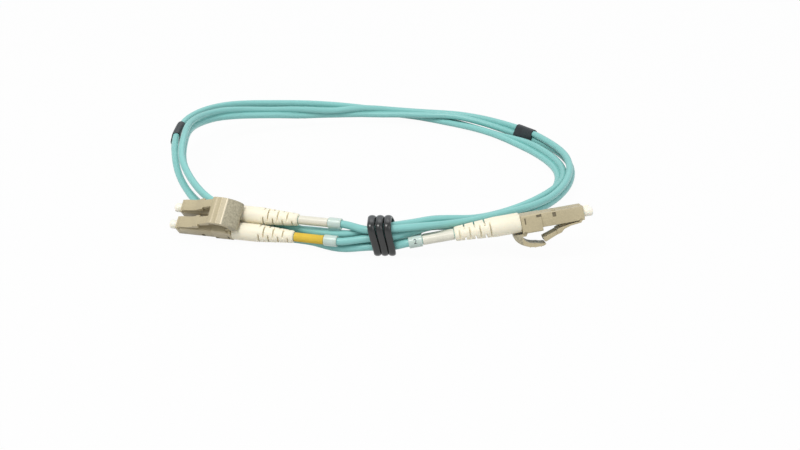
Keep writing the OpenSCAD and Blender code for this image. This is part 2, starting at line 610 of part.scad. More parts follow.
clip(plug_a);  // clip_a
clip(plug_b);  // clip_b
trigger(plug_a);  // trigger_a
trigger(plug_b);  // trigger_b
fibre(plug_a);  // fibre_a
fibre(plug_b);  // fibre_b
housing(plug_a, 1);  // housing_a1
housing(plug_a, 2);  // housing_a2
housing(plug_b, 1);  // housing_b1
housing(plug_b, 2);  // housing_b2
latch(plug_a, 1);  // latch_a1
latch(plug_a, 2);  // latch_a2
latch(plug_b, 1);  // latch_b1
latch(plug_b, 2);  // latch_b2
rear_body(plug_a, 1);  // rear_body_a1
rear_body(plug_a, 2);  // rear_body_a2
rear_body(plug_b, 1);  // rear_body_b1
rear_body(plug_b, 2);  // rear_body_b2
crimp_sleeve(plug_a, 1);  // crimp_sleeve_a1
crimp_sleeve(plug_a, 2);  // crimp_sleeve_a2
crimp_sleeve(plug_b, 1);  // crimp_sleeve_b1
crimp_sleeve(plug_b, 2);  // crimp_sleeve_b2
boot(plug_a, 1);  // boot_a1
boot(plug_a, 2);  // boot_a2
boot(plug_b, 1);  // boot_b1
boot(plug_b, 2);  // boot_b2
ferrule(plug_a, 1);  // ferrule_a1
ferrule(plug_a, 2);  // ferrule_a2
ferrule(plug_b, 1);  // ferrule_b1
ferrule(plug_b, 2);  // ferrule_b2
ferrule_flange(plug_a, 1);  // ferrule_flange_a1
ferrule_flange(plug_a, 2);  // ferrule_flange_a2
ferrule_flange(plug_b, 1);  // ferrule_flange_b1
ferrule_flange(plug_b, 2);  // ferrule_flange_b2
spring(plug_a, 1);  // spring_a1
spring(plug_a, 2);  // spring_a2
spring(plug_b, 1);  // spring_b1
spring(plug_b, 2);  // spring_b2
cap(plug_a, 1);  // cap_a1
cap(plug_a, 2);  // cap_a2
cap(plug_b, 1);  // cap_b1
cap(plug_b, 2);  // cap_b2
label(plug_a, 1);  // label_a1
label(plug_a, 2);  // label_a2
label(plug_b, 1);  // label_b1
label(plug_b, 2);  // label_b2
flag(plug_a, 1);  // flag_a1
flag(plug_a, 2);  // flag_a2
flag(plug_b, 1);  // flag_b1
flag(plug_b, 2);  // flag_b2
leg(leg_a_path(1), plug_dir(plug_a, [-1, 0, 0]), way(pass_a, sleeve_a_t));  // leg_a1
leg(leg_a_path(2), plug_dir(plug_a, [-1, 0, 0]), way(pass_a, sleeve_a_t));  // leg_a2
leg(leg_b_path(1), way(pass_b, sleeve_b_t), plug_dir(plug_b, [1, 0, 0]));  // leg_b1
leg(leg_b_path(2), way(pass_b, sleeve_b_t), plug_dir(plug_b, [1, 0, 0]));  // leg_b2
duplex_cord();
sleeve(pass_a, sleeve_a_t);  // split_sleeve_a
sleeve(pass_b, sleeve_b_t);  // split_sleeve_b
tie();
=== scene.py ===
"""Looks of a duplex fibre patch cord, coiled twice round and held by a twist tie.

Two snap-in plugs with latches, triggers, bend boots and dust caps, four legs
with labels and number collars, two breakout sleeves, the figure-eight zip
cord and the tie. Shapes are drawn in millimetres and placed in metres.

A plug is drawn with its mating face at x = 0 and its body towards -x, so the
sizes named `..._b` are distances behind the mating face. Channel 1 is at +y,
channel 2 at -y, and the latches are towards +z.
"""

import logging
import math
from collections.abc import Callable, Iterable, Sequence
from dataclasses import dataclass, field
from enum import Enum

import bmesh
import bpy
from mathutils import Matrix, Vector


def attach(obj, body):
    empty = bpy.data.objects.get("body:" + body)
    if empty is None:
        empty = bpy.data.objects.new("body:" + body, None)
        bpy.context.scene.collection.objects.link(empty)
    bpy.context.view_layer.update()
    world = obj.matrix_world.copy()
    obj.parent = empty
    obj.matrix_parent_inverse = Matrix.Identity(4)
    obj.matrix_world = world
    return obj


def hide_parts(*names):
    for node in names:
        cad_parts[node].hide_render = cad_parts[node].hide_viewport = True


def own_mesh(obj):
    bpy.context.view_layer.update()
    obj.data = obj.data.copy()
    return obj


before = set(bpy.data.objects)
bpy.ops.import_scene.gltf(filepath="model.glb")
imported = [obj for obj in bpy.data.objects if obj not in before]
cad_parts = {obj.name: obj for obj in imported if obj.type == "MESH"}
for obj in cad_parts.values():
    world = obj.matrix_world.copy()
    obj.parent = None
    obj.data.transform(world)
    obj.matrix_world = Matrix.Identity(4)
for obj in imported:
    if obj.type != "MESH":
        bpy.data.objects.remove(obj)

LOG = logging.getLogger("patch_cord")
MM = 0.001
ROOT = "cord_set"
Colour = tuple[float, float, float]
Outline = Sequence[tuple[float, float]]
Path = list[Vector]


class Fit(Enum):
    """How one solid is combined with another."""

    CUT = "DIFFERENCE"
    JOIN = "UNION"


class Lay(Enum):
    """How a free cord lies."""

    LOOSE = "loose"
    COILED = "coiled"
    TAUT = "taut"


# ---- finishes ----


class Groups:
    """Shader node groups that several finishes share, each built once."""

    _made: dict[str, bpy.types.NodeTree] = {}

    @classmethod
    def _new(cls, name: str, inputs: dict[str, tuple[str, object]], outputs: dict[str, str]) -> bpy.types.NodeTree:
        """Starts a group with its sockets.

        Args:
            name: name of the group.
            inputs: socket name to its type and default value.
            outputs: socket name to its type.

        Returns:
            The empty group, with its input and output nodes named "in" and "out".
        """
        tree = bpy.data.node_groups.new(name, "ShaderNodeTree")
        for label, (kind, value) in inputs.items():
            socket = tree.interface.new_socket(label, in_out="INPUT", socket_type=kind)
            if value is not None:
                socket.default_value = value
        for label, kind in outputs.items():
            tree.interface.new_socket(label, in_out="OUTPUT", socket_type=kind)
        tree.nodes.new("NodeGroupInput").name = "in"
        tree.nodes.new("NodeGroupOutput").name = "out"
        cls._made[name] = tree
        return tree

    @classmethod
    def grain(cls) -> bpy.types.NodeTree:
        """Height of a moulded grain: fine pebbles over a slower unevenness."""
        if "moulded_grain" in cls._made:
            return cls._made["moulded_grain"]
        tree = cls._new(
            "moulded_grain",
            {"Vector": ("NodeSocketVector", None), "Scale": ("NodeSocketFloat", 3000.0),
             "Pebble": ("NodeSocketFloat", 0.6), "Wave": ("NodeSocketFloat", 0.4)},
            {"Height": "NodeSocketFloat"},
        )
        n, link = tree.nodes, tree.links.new
        fine = n.new("ShaderNodeTexNoise")
        fine.inputs["Detail"].default_value = 3.0
        slow = n.new("ShaderNodeTexNoise")
        slow.inputs["Detail"].default_value = 1.0
        slower = n.new("ShaderNodeMath")
        slower.operation = "MULTIPLY"
        slower.inputs[1].default_value = 0.12
        link(n["in"].outputs["Scale"], slower.inputs[0])
        link(n["in"].outputs["Scale"], fine.inputs["Scale"])
        link(slower.outputs[0], slow.inputs["Scale"])
        total = None
        for noise, share in ((fine, "Pebble"), (slow, "Wave")):
            link(n["in"].outputs["Vector"], noise.inputs["Vector"])
            part = n.new("ShaderNodeMath")
            part.operation = "MULTIPLY"
            link(noise.outputs[0], part.inputs[0])
            link(n["in"].outputs[share], part.inputs[1])
            if total is None:
                total = part
            else:
                added = n.new("ShaderNodeMath")
                added.operation = "ADD"
                link(total.outputs[0], added.inputs[0])
                link(part.outputs[0], added.inputs[1])
                total = added
        link(total.outputs[0], n["out"].inputs["Height"])
        return tree

    @classmethod
    def tone(cls) -> bpy.types.NodeTree:
        """Drifts a colour lighter and darker along a slow noise, with fine specks."""
        if "tone_drift" in cls._made:
            return cls._made["tone_drift"]
        tree = cls._new(
            "tone_drift",
            {"Vector": ("NodeSocketVector", None), "Colour": ("NodeSocketColor", None),
             "Scale": ("NodeSocketFloat", 60.0), "Spread": ("NodeSocketFloat", 0.1),
             "Speck Scale": ("NodeSocketFloat", 2500.0), "Speck": ("NodeSocketFloat", 0.05)},
            {"Colour": "NodeSocketColor"},
        )
        n, link = tree.nodes, tree.links.new
        total = None
        for scale, share in (("Scale", "Spread"), ("Speck Scale", "Speck")):
            noise = n.new("ShaderNodeTexNoise")
            noise.inputs["Detail"].default_value = 2.0
            link(n["in"].outputs["Vector"], noise.inputs["Vector"])
            link(n["in"].outputs[scale], noise.inputs["Scale"])
            level = n.new("ShaderNodeMapRange")
            level.inputs["From Min"].default_value = 0.3
            level.inputs["From Max"].default_value = 0.7
            level.inputs["To Min"].default_value = -1.0
            link(noise.outputs[0], level.inputs["Value"])
            part = n.new("ShaderNodeMath")
            part.operation = "MULTIPLY"
            link(level.outputs[0], part.inputs[0])
            link(n["in"].outputs[share], part.inputs[1])
            if total is None:
                total = n.new("ShaderNodeMath")
                total.inputs[0].default_value = 1.0
                link(part.outputs[0], total.inputs[1])
            else:
                added = n.new("ShaderNodeMath")
                link(total.outputs[0], added.inputs[0])
                link(part.outputs[0], added.inputs[1])
                total = added
        scaled = n.new("ShaderNodeVectorMath")
        scaled.operation = "SCALE"
        link(n["in"].outputs["Colour"], scaled.inputs[0])
        link(total.outputs[0], scaled.inputs["Scale"])
        link(scaled.outputs[0], n["out"].inputs["Colour"])
        return tree

    @classmethod
    def handling(cls) -> bpy.types.NodeTree:
        """Roughness that varies as on a surface that has been handled."""
        if "handling" in cls._made:
            return cls._made["handling"]
        tree = cls._new(
            "handling",
            {"Vector": ("NodeSocketVector", None), "Roughness": ("NodeSocketFloat", 0.4),
             "Spread": ("NodeSocketFloat", 0.08), "Scale": ("NodeSocketFloat", 300.0)},
            {"Roughness": "NodeSocketFloat"},
        )
        n, link = tree.nodes, tree.links.new
        noise = n.new("ShaderNodeTexNoise")
        noise.inputs["Detail"].default_value = 4.0
        noise.inputs["Distortion"].default_value = 0.6
        link(n["in"].outputs["Vector"], noise.inputs["Vector"])
        link(n["in"].outputs["Scale"], noise.inputs["Scale"])
        level = n.new("ShaderNodeMath")
        level.operation = "MULTIPLY_ADD"
        centred = n.new("ShaderNodeMath")
        centred.operation = "SUBTRACT"
        centred.inputs[1].default_value = 0.5
        link(noise.outputs[0], centred.inputs[0])
        link(centred.outputs[0], level.inputs[0])
        link(n["in"].outputs["Spread"], level.inputs[1])
        link(n["in"].outputs["Roughness"], level.inputs[2])
        link(level.outputs[0], n["out"].inputs["Roughness"])
        return tree


def linear(colour: Colour) -> tuple[float, float, float, float]:
    """A display colour as the linear value that a shader takes."""
    return (*(c / 12.92 if c <= 0.04045 else ((c + 0.055) / 1.055) ** 2.4 for c in colour), 1.0)


@dataclass(frozen=True)
class Finish:
    """A surface finish, from its colour, grain and gloss.

    Attributes:
        name: name of the material.
        slot: material slot of the record, not used.
        colour: display colour.
        roughness: middle roughness, and how far it varies.
        tone: spread and scale of the slow tone drift.
        speck: strength and scale of the fine specks.
        grain: pebble share, wave share, scale and depth in metres of the bump.
        metallic: 1 for a bare metal.
        specular: specular level.
        coat: weight of a clear coat.
        glow: weight of light scattered under the surface.
        stretch: how far the pattern is drawn out along the piece, through its UV map.
    """

    name: str
    slot: str
    colour: Colour
    roughness: tuple[float, float] = (0.45, 0.1)
    tone: tuple[float, float] = (0.04, 80.0)
    speck: tuple[float, float] = (0.03, 3000.0)
    grain: tuple[float, float, float, float] = (0.5, 0.5, 4000.0, 0.00001)
    metallic: float = 0.0
    specular: float = 0.5
    coat: float = 0.0
    glow: float = 0.0
    stretch: tuple[float, float] | None = None

    def material(self) -> bpy.types.Material:
        """The finish's material, built the first time it is asked for.

        Returns:
            The material.
        """
        made = bpy.data.materials.get(self.name)
        if made is not None:
            return made
        made = bpy.data.materials.new(self.name)
        made.use_nodes = True
        n, link = made.node_tree.nodes, made.node_tree.links.new
        shader = n["Principled BSDF"]
        place = n.new("ShaderNodeTexCoord")
        vector = place.outputs["Object"]
        if self.stretch:
            drawn = n.new("ShaderNodeMapping")
            drawn.inputs["Scale"].default_value = (*self.stretch, 1.0)
            link(place.outputs["UV"], drawn.inputs["Vector"])
            vector = drawn.outputs[0]
        tone = self._group(made, Groups.tone(), vector, {
            "Colour": linear(self.colour), "Spread": self.tone[0], "Scale": self.tone[1],
            "Speck": self.speck[0], "Speck Scale": self.speck[1]})
        link(tone.outputs[0], shader.inputs["Base Color"])
        handled = self._group(made, Groups.handling(), place.outputs["Object"], {
            "Roughness": self.roughness[0], "Spread": self.roughness[1]})
        link(handled.outputs[0], shader.inputs["Roughness"])
        grain = self._group(made, Groups.grain(), vector, {
            "Pebble": self.grain[0], "Wave": self.grain[1], "Scale": self.grain[2]})
        bump = n.new("ShaderNodeBump")
        bump.inputs["Strength"].default_value = 1.0
        bump.inputs["Distance"].default_value = self.grain[3]
        link(grain.outputs[0], bump.inputs["Height"])
        link(bump.outputs[0], shader.inputs["Normal"])
        shader.inputs["Metallic"].default_value = self.metallic
        shader.inputs["Specular IOR Level"].default_value = self.specular
        shader.inputs["Coat Weight"].default_value = self.coat
        shader.inputs["Coat Roughness"].default_value = 0.12
        shader.inputs["Subsurface Weight"].default_value = self.glow
        shader.inputs["Subsurface Radius"].default_value = (1.0, 0.8, 0.6)
        shader.inputs["Subsurface Scale"].default_value = 0.0008
        return made

    @staticmethod
    def _group(made: bpy.types.Material, tree: bpy.types.NodeTree, vector: bpy.types.NodeSocket,
               values: dict[str, object]) -> bpy.types.Node:
        """Places a shared group in a material.

        Args:
            made: the material.
            tree: the node group.
            vector: socket that gives the pattern's coordinates.
            values: socket name to this material's value.

        Returns:
            The group's node.
        """
        node = made.node_tree.nodes.new("ShaderNodeGroup")
        node.node_tree = tree
        made.node_tree.links.new(vector, node.inputs["Vector"])
        for label, value in values.items():
            node.inputs[label].default_value = value
        return node


BEIGE = Finish("moulded_beige", "housing", (0.73, 0.68, 0.55), (0.42, 0.12), (0.04, 90.0), (0.07, 2600.0),
               (0.8, 0.3, 2600.0, 0.00003))
# Real pebbled grain, with a darker beige that is painted shade for the trigger's rear arc and underside.
PEBBLED_PAINTED_SHADE = Finish("pebbled_beige_painted_shade", "housing", (0.64, 0.61, 0.515), (0.45, 0.1), (0.04, 90.0), (0.24, 1700.0),
                 (1.0, 0.2, 1900.0, 0.00009))
# Painted highlights: lighter beiges that stand in for the light caught along the trigger's ridge tops.
RIDGE_PAINTED_HIGHLIGHT = Finish("ridge_painted_highlight", "housing", (0.95, 0.90, 0.79), (0.4, 0.1), (0.03, 90.0), (0.05, 2600.0),
               (0.6, 0.3, 2600.0, 0.00002))
RIDGE_PAINTED_SOFT_HIGHLIGHT = Finish("ridge_painted_soft_highlight", "housing", (0.83, 0.775, 0.65), (0.42, 0.1), (0.03, 90.0), (0.06, 2600.0),
               (0.7, 0.3, 2600.0, 0.00003))
# Painted shade: a darker beige for the walls of side recesses, standing in for the shadow inside them.
RECESS_PAINTED_SHADE = Finish("recess_painted_shade", "housing", (0.5, 0.46, 0.37), (0.6, 0.1), (0.04, 90.0), (0.05, 2600.0))
CREAM = Finish("boot_cream", "boot", (0.95, 0.92, 0.83), (0.5, 0.1), (0.02, 60.0), (0.02, 3000.0),
               (0.5, 0.5, 3000.0, 0.00002), glow=0.15)
CAP_WHITE = Finish("cap_white", "cap", (0.96, 0.94, 0.88), (0.4, 0.1), (0.02, 90.0), (0.02, 3000.0),
                   (0.4, 0.6, 2000.0, 0.00002), glow=0.3)
AQUA = Finish("aqua_jacket", "jacket", (0.53, 0.775, 0.755), (0.36, 0.12), (0.05, 0.7), (0.03, 30.0),
              (0.5, 0.5, 26.0, 0.00002), stretch=(1.0, 0.06))
YELLOW = Finish("yellow_film", "label_yellow", (0.85, 0.72, 0.28), (0.5, 0.1), (0.05, 300.0), (0.03, 2500.0),
                (0.4, 0.6, 1500.0, 0.00002), specular=0.05)
PALE = Finish("label_pale", "label", (0.865, 0.85, 0.785), (0.35, 0.1), (0.05, 300.0), (0.03, 2500.0),
              (0.4, 0.6, 1500.0, 0.00002), coat=0.1)
COLLAR = Finish("collar_white", "flag", (0.755, 0.82, 0.785), (0.3, 0.1), (0.04, 300.0), (0.02, 2500.0),
                (0.4, 0.6, 1200.0, 0.00003), coat=0.2, glow=0.2)
DIGIT = Finish("digit_black", "flag", (0.10, 0.10, 0.11), (0.5, 0.1), (0.1, 900.0), (0.05, 3000.0))
BLACK = Finish("sleeve_black", "sleeve", (0.17, 0.19, 0.20), (0.4, 0.15), (0.15, 300.0), (0.1, 2500.0),
               (0.5, 0.5, 1800.0, 0.00004))
TIE_BLACK = Finish("tie_black", "tie", (0.105, 0.11, 0.105), (0.3, 0.12), (0.15, 300.0), (0.1, 2500.0),
                   (0.4, 0.6, 1200.0, 0.00004), coat=0.5)
CERAMIC = Finish("zirconia", "ferrule", (0.95, 0.95, 0.93), (0.14, 0.05), (0.01, 200.0), (0.01, 3000.0),
                 (0.3, 0.3, 3000.0, 0.000004), coat=0.4)
NICKEL = Finish("turned_nickel", "flange", (0.78, 0.77, 0.74), (0.3, 0.12), (0.05, 300.0), (0.04, 3000.0),
                (0.6, 0.4, 3000.0, 0.00001), metallic=1.0)
STEEL = Finish("drawn_steel", "spring", (0.66, 0.66, 0.67), (0.28, 0.1), (0.06, 300.0), (0.04, 3000.0),
               (0.6, 0.4, 3000.0, 0.00001), metallic=1.0)
PRESSED = Finish("pressed_aluminium", "crimp_sleeve", (0.80, 0.80, 0.80), (0.34, 0.14), (0.05, 300.0),
                 (0.04, 3000.0), (0.6, 0.4, 2200.0, 0.00002), metallic=1.0)
INNER = Finish("inner_beige", "rear_body", (0.75, 0.71, 0.61), (0.45, 0.1), (0.04, 90.0), (0.05, 2600.0),
               (0.7, 0.3, 2600.0, 0.00002))
BUFFER = Finish("fibre_buffer", "fibre", (0.90, 0.90, 0.85), (0.2, 0.08), (0.03, 200.0), (0.02, 3000.0),
                (0.3, 0.7, 1500.0, 0.00001), coat=0.3)


# ---- solids ----


def moved(bm: bmesh.types.BMesh, matrix: Matrix) -> bmesh.types.BMesh:
    """The same mesh after a transform."""
    bmesh.ops.transform(bm, matrix=matrix, verts=bm.verts)
    return bm


def block(b0: float, b1: float, width: float, z0: float, z1: float, y: float = 0.0) -> bmesh.types.BMesh:
    """A block square to the channel.

    Args:
        b0: distance of its front behind the mating face.
        b1: distance of its back behind the mating face.
        width: width across the channel.
        z0: lowest height.
        z1: highest height.
        y: middle of its width.

    Returns:
        The mesh.
    """
    bm = bmesh.new()
    bmesh.ops.create_cube(bm, size=1.0)
    size = Matrix.Diagonal((b1 - b0, width, z1 - z0, 1.0))
    return moved(bm, Matrix.Translation((-(b0 + b1) / 2, y, (z0 + z1) / 2)) @ size)


def shade_recesses(bm: bmesh.types.BMesh, spots: Iterable[tuple[float, float, float, float]], below: float) -> None:
    """Gives the walls of side recesses material number 1, the darker beige that is painted shade for the shadow inside
    them.

    Args:
        bm: the body, closed.
        spots: lowest and highest b, then lowest and highest height, of each recess.
        below: how far across the channel a wall is at most, so that the outside stays plain.
    """
    for face in bm.faces:
        x, y, z = face.calc_center_median()
        inside = any(low - 0.02 < -x < high + 0.02 and floor - 0.02 < z < roof + 0.02 for low, high, floor, roof in spots)
        if inside and below - 1.0 < abs(y) < below:
            face.material_index = 1


def rod(radius: float, b0: float, b1: float, y: float = 0.0, sides: int = 32) -> bmesh.types.BMesh:
    """A round bar along the channel, from b0 to b1 behind the mating face."""
    bm = bmesh.new()
    bmesh.ops.create_cone(bm, cap_ends=True, segments=sides, radius1=radius, radius2=radius, depth=b1 - b0)
    return moved(bm, Matrix.Translation((-(b0 + b1) / 2, y, 0)) @ Matrix.Rotation(math.pi / 2, 4, "Y"))


def knuckle(radius: float, width: float, b: float, z: float, sides: int = 24) -> bmesh.types.BMesh:
    """A round bar across the channel, at b behind the mating face."""
    bm = bmesh.new()
    bmesh.ops.create_cone(bm, cap_ends=True, segments=sides, radius1=radius, radius2=radius, depth=width)
    return moved(bm, Matrix.Translation((-b, 0, z)) @ Matrix.Rotation(math.pi / 2, 4, "X"))


def slab(width: float, outline: Outline) -> bmesh.types.BMesh:
    """A profile in (b, z), extruded across a width.

    Args:
        width: width across the channel.
        outline: corners of the profile, in order.

    Returns:
        The mesh.
    """
    bm = bmesh.new()
    face = bm.faces.new([bm.verts.new((-b, -width / 2, z)) for b, z in outline])
    grown = bmesh.ops.extrude_face_region(bm, geom=[face])["geom"]
    far = [g for g in grown if isinstance(g, bmesh.types.BMVert)]
    bmesh.ops.translate(bm, vec=(0, width, 0), verts=far)
    bmesh.ops.recalc_face_normals(bm, faces=bm.faces)
    return bm


def rounded(points: Outline, per: int) -> list[tuple[float, float]]:
    """A smooth line through points.

    Args:
        points: points in order.
        per: steps between two of them.

    Returns:
        The points and the steps between them.
    """
    out = []
    for i in range(len(points) - 1):
        a, b, c, d = (Vector(points[min(max(j, 0), len(points) - 1)]) for j in (i - 1, i, i + 1, i + 2))
        for k in range(per):
            u = k / per
            p = 0.5 * (2 * b + (c - a) * u + (2 * a - 5 * b + 4 * c - d) * u * u + (3 * b - a - 3 * c + d) * u**3)
            out.append((p.x, p.y))
    return [*out, tuple(points[-1])]


def lathe(outline: Outline, sides: int = 40, closed: bool = False) -> bmesh.types.BMesh:
    """A profile in (b, radius), spun round the channel.

    Args:
        outline: points of the profile, the first and last on the axis unless closed.
        sides: steps round.
        closed: True where the profile is a ring of its own, as of a tube.

    Returns:
        The mesh.
    """
    bm = bmesh.new()
    verts = [bm.verts.new((-b, 0, r)) for b, r in outline]
    pairs = list(zip(verts, verts[1:])) + ([(verts[-1], verts[0])] if closed else [])
    edges = [bm.edges.new(pair) for pair in pairs]
    bmesh.ops.spin(bm, geom=verts + edges, cent=(0, 0, 0), axis=(1, 0, 0), angle=math.tau, steps=sides,
                   use_merge=True)
    bmesh.ops.remove_doubles(bm, verts=bm.verts, dist=1e-5)
    bmesh.ops.recalc_face_normals(bm, faces=bm.faces)
    return bm


def joined(*parts: bmesh.types.BMesh) -> bmesh.types.BMesh:
    """Several meshes kept side by side in one."""
    bm = bmesh.new()
    for part in parts:
        mesh = bpy.data.meshes.new("work")
        part.to_mesh(mesh)
        part.free()
        bm.from_mesh(mesh)
        bpy.data.meshes.remove(mesh)
    return bm


def combined(base: bmesh.types.BMesh, other: bmesh.types.BMesh, fit: Fit) -> bmesh.types.BMesh:
    """One solid cut by another or joined to it.

    Args:
        base: the solid that is kept.
        other: the cutter or the addition.
        fit: what is done with it.

    Returns:
        The mesh of the outcome.
    """
    objects = []
    for part in (base, other):
        mesh = bpy.data.meshes.new("work")
        part.to_mesh(mesh)
        part.free()
        objects.append(bpy.data.objects.new("work", mesh))
        bpy.context.scene.collection.objects.link(objects[-1])
    modifier = objects[0].modifiers.new("fit", "BOOLEAN")
    modifier.operation, modifier.solver, modifier.object = fit.value, "EXACT", objects[1]
    view = bpy.context.evaluated_depsgraph_get()
    bm = bmesh.new()
    bm.from_mesh(objects[0].evaluated_get(view).to_mesh())
    for obj in objects:
        mesh = obj.data
        bpy.data.objects.remove(obj)
        bpy.data.meshes.remove(mesh)
    bmesh.ops.remove_doubles(bm, verts=bm.verts, dist=1e-4)
    return bm


def softened(bm: bmesh.types.BMesh, width: float, angle: float = 35.0, segments: int = 2,
             where: Callable[[bmesh.types.BMEdge], bool] = lambda e: True) -> bmesh.types.BMesh:
    """Rounds a solid's sharp edges.

    Args:
        bm: the solid.
        width: width of the rounding.
        angle: edges that turn by more than this, in degrees, are rounded.
        segments: steps across the rounding.
        where: picks the edges.

    Returns:
        The same mesh.
    """
    sharp = [e for e in bm.edges if len(e.link_faces) == 2 and e.calc_face_angle(0.0) > math.radians(angle)
             and where(e)]
    bmesh.ops.bevel(bm, geom=sharp, offset=width, offset_type="OFFSET", segments=segments, profile=0.5,
                    affect="EDGES", clamp_overlap=True, material=-1)
    bmesh.ops.dissolve_degenerate(bm, dist=1e-5, edges=bm.edges)
    return bm


def runs_along(edge: bmesh.types.BMEdge) -> bool:
    """Whether an edge runs along the channel."""
    way = edge.verts[1].co - edge.verts[0].co
    return abs(way.x) > 0.9 * way.length


def swept(rings: Sequence[Sequence[Vector]], lengths: Sequence[float], girth: float,
          closed: bool = False) -> bmesh.types.BMesh:
    """A skin drawn through rings of points, each extruded from the one before.

    Args:
        rings: rings of equal counts of points.
        lengths: distance along the piece at each ring.
        girth: distance round, which sets the scale of the UV map.
        closed: True where the last ring meets the first, as of a tube with walls.

    Returns:
        The mesh, with a UV map whose u runs round and v along.
    """
    bm = bmesh.new()
    uv = bm.loops.layers.uv.new("along")
    count = len(rings[0])
    first = row = [bm.verts.new(p) for p in rings[0]]
    edges = [bm.edges.new((row[k], row[(k + 1) % count])) for k in range(count)]
    for i, ring in enumerate(rings[1:], 1):
        grown = bmesh.ops.extrude_edge_only(bm, edges=edges)["geom"]
        fresh = {g for g in grown if isinstance(g, bmesh.types.BMVert)}
        after = [next(e.other_vert(v) for e in v.link_edges if e.other_vert(v) in fresh) for v in row]
        for vert, point in zip(after, ring):
            vert.co = point
        edges = [bm.edges.get((after[k], after[(k + 1) % count])) for k in range(count)]
        low, high = lengths[i - 1] / girth, lengths[i] / girth
        for k in range(count):
            corners = (row[k], row[(k + 1) % count], after[(k + 1) % count], after[k])
            spots = dict(zip(corners, ((k, low), (k + 1, low), (k + 1, high), (k, high))))
            for loop in bm.faces.get(corners).loops:
                loop[uv].uv = (spots[loop.vert][0] / count, spots[loop.vert][1])
        row = after
    if closed:
        for a, b in zip(first, row):
            b.co = a.co
        bmesh.ops.remove_doubles(bm, verts=first + row, dist=1e-7)
    else:
        bm.faces.new(first)
        bm.faces.new(row)
    bmesh.ops.recalc_face_normals(bm, faces=bm.faces)
    return bm


def distances(path: Sequence[Vector]) -> list[float]:
    """The distance along a path at each of its points."""
    total, out = 0.0, [0.0]
    for a, b in zip(path, path[1:]):
        total += (b - a).length
        out.append(total)
    return out


def headings(path: Sequence[Vector]) -> Path:
    """The direction of a path at each of its points."""
    last = len(path) - 1
    return [(path[min(i + 1, last)] - path[max(i - 1, 0)]).normalized() for i in range(last + 1)]


def round_rings(path: Sequence[Vector], radius: Callable[[float], float], sides: int) -> list[Path]:
    """Round rings square to a path.

    Args:
        path: the middle of the tube.
        radius: radius at a share of the path's length.
        sides: points on a ring.

    Returns:
        The rings.
    """
    rings, up = [], Vector((0, 0, 1))
    far = distances(path)
    for point, way, at in zip(path, headings(path), far):
        side = way.cross(up).normalized() if abs(way.dot(up)) < 0.98 else way.orthogonal().normalized()
        up = side.cross(way).normalized()
        r = radius(at / far[-1])
        rings.append([point + r * (math.cos(math.tau * k / sides) * side + math.sin(math.tau * k / sides) * up)
                      for k in range(sides)])
    return rings


def add_piece(name: str, bm: bmesh.types.BMesh, finishes: Sequence[Finish], body: str, nodes: Iterable[str],
              place: Matrix | None = None, angle: float = 40.0) -> bpy.types.Object:
    """Makes a piece of the scene from a finished mesh.

    Args:
        name: name of the piece.
        bm: its mesh, in millimetres.
        finishes: its finishes, in the order of its material numbers.
        body: CAD body that it moves with.
        nodes: CAD nodes that it stands for.
        place: where it lies, or None where the mesh is already in the frame.
        angle: faces that turn by less than this, in degrees, are shaded smooth.

    Returns:
        The piece.
    """
    bmesh.ops.transform(bm, matrix=place or Matrix.Scale(MM, 4), verts=bm.verts)
    mesh = bpy.data.meshes.new(name)
    bm.to_mesh(mesh)
    bm.free()
    for finish in finishes:
        mesh.materials.append(finish.material())
    mesh.shade_smooth()
    mesh.set_sharp_from_angle(angle=math.radians(angle))
    piece = bpy.data.objects.new(name, mesh)
    bpy.context.scene.collection.objects.link(piece)
    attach(piece, body)
    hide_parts(*nodes)
    LOG.info("%s: %d faces", name, len(mesh.polygons))
    return piece


# ---- cord routes ----


@dataclass(frozen=True)
class Pass:
    """One pass of the pair round the coil.

    Attributes:
        knots: turn angle, radius from the coil's middle, height, roll of the
            pair (90 is on edge) and distance between the two, smooth between.
    """

    knots: tuple[tuple[float, float, float, float, float], ...]
    centre: tuple[float, float] = (-2.0, 59.5)

    def _slope(self, i: int, column: int) -> float:
        """Slope of a column at a knot."""
        low, high = self.knots[max(i - 1, 0)], self.knots[min(i + 1, len(self.knots) - 1)]
        return (high[column] - low[column]) / (high[0] - low[0])

    def value(self, turn: float, column: int) -> float:
        """A column's value at a turn angle."""
        i = 0
        while i < len(self.knots) - 2 and turn >= self.knots[i + 1][0]:
            i += 1
        a, b = self.knots[i], self.knots[i + 1]
        h = b[0] - a[0]
        u = (turn - a[0]) / h
        return ((2 * u**3 - 3 * u * u + 1) * a[column] + (u**3 - 2 * u * u + u) * h * self._slope(i, column)
                + (3 * u * u - 2 * u**3) * b[column] + (u**3 - u * u) * h * self._slope(i + 1, column))

    def middle(self, turn: float) -> Vector:
        """The middle of the pair."""
        r, t = self.value(turn, 1), math.radians(turn)
        return Vector((self.centre[0] + r * math.cos(t), self.centre[1] + r * math.sin(t), self.value(turn, 2)))

    def way(self, turn: float) -> Vector:
        """The direction of the pair."""
        return (self.middle(turn + 0.5) - self.middle(turn - 0.5)).normalized()

    def square(self, turn: float) -> Vector:
        """From one of the pair to the other, square to the route."""
        roll, t, way = math.radians(self.value(turn, 3)), math.radians(turn), self.way(turn)
        over = Vector((math.cos(roll) * math.cos(t), math.cos(roll) * math.sin(t), math.sin(roll)))
        return (over - over.dot(way) * way).normalized()

    def strand(self, turn: float, side: int) -> Vector:
        """A point on one of the pair."""
        return self.middle(turn) + side * self.value(turn, 4) / 2 * self.square(turn)


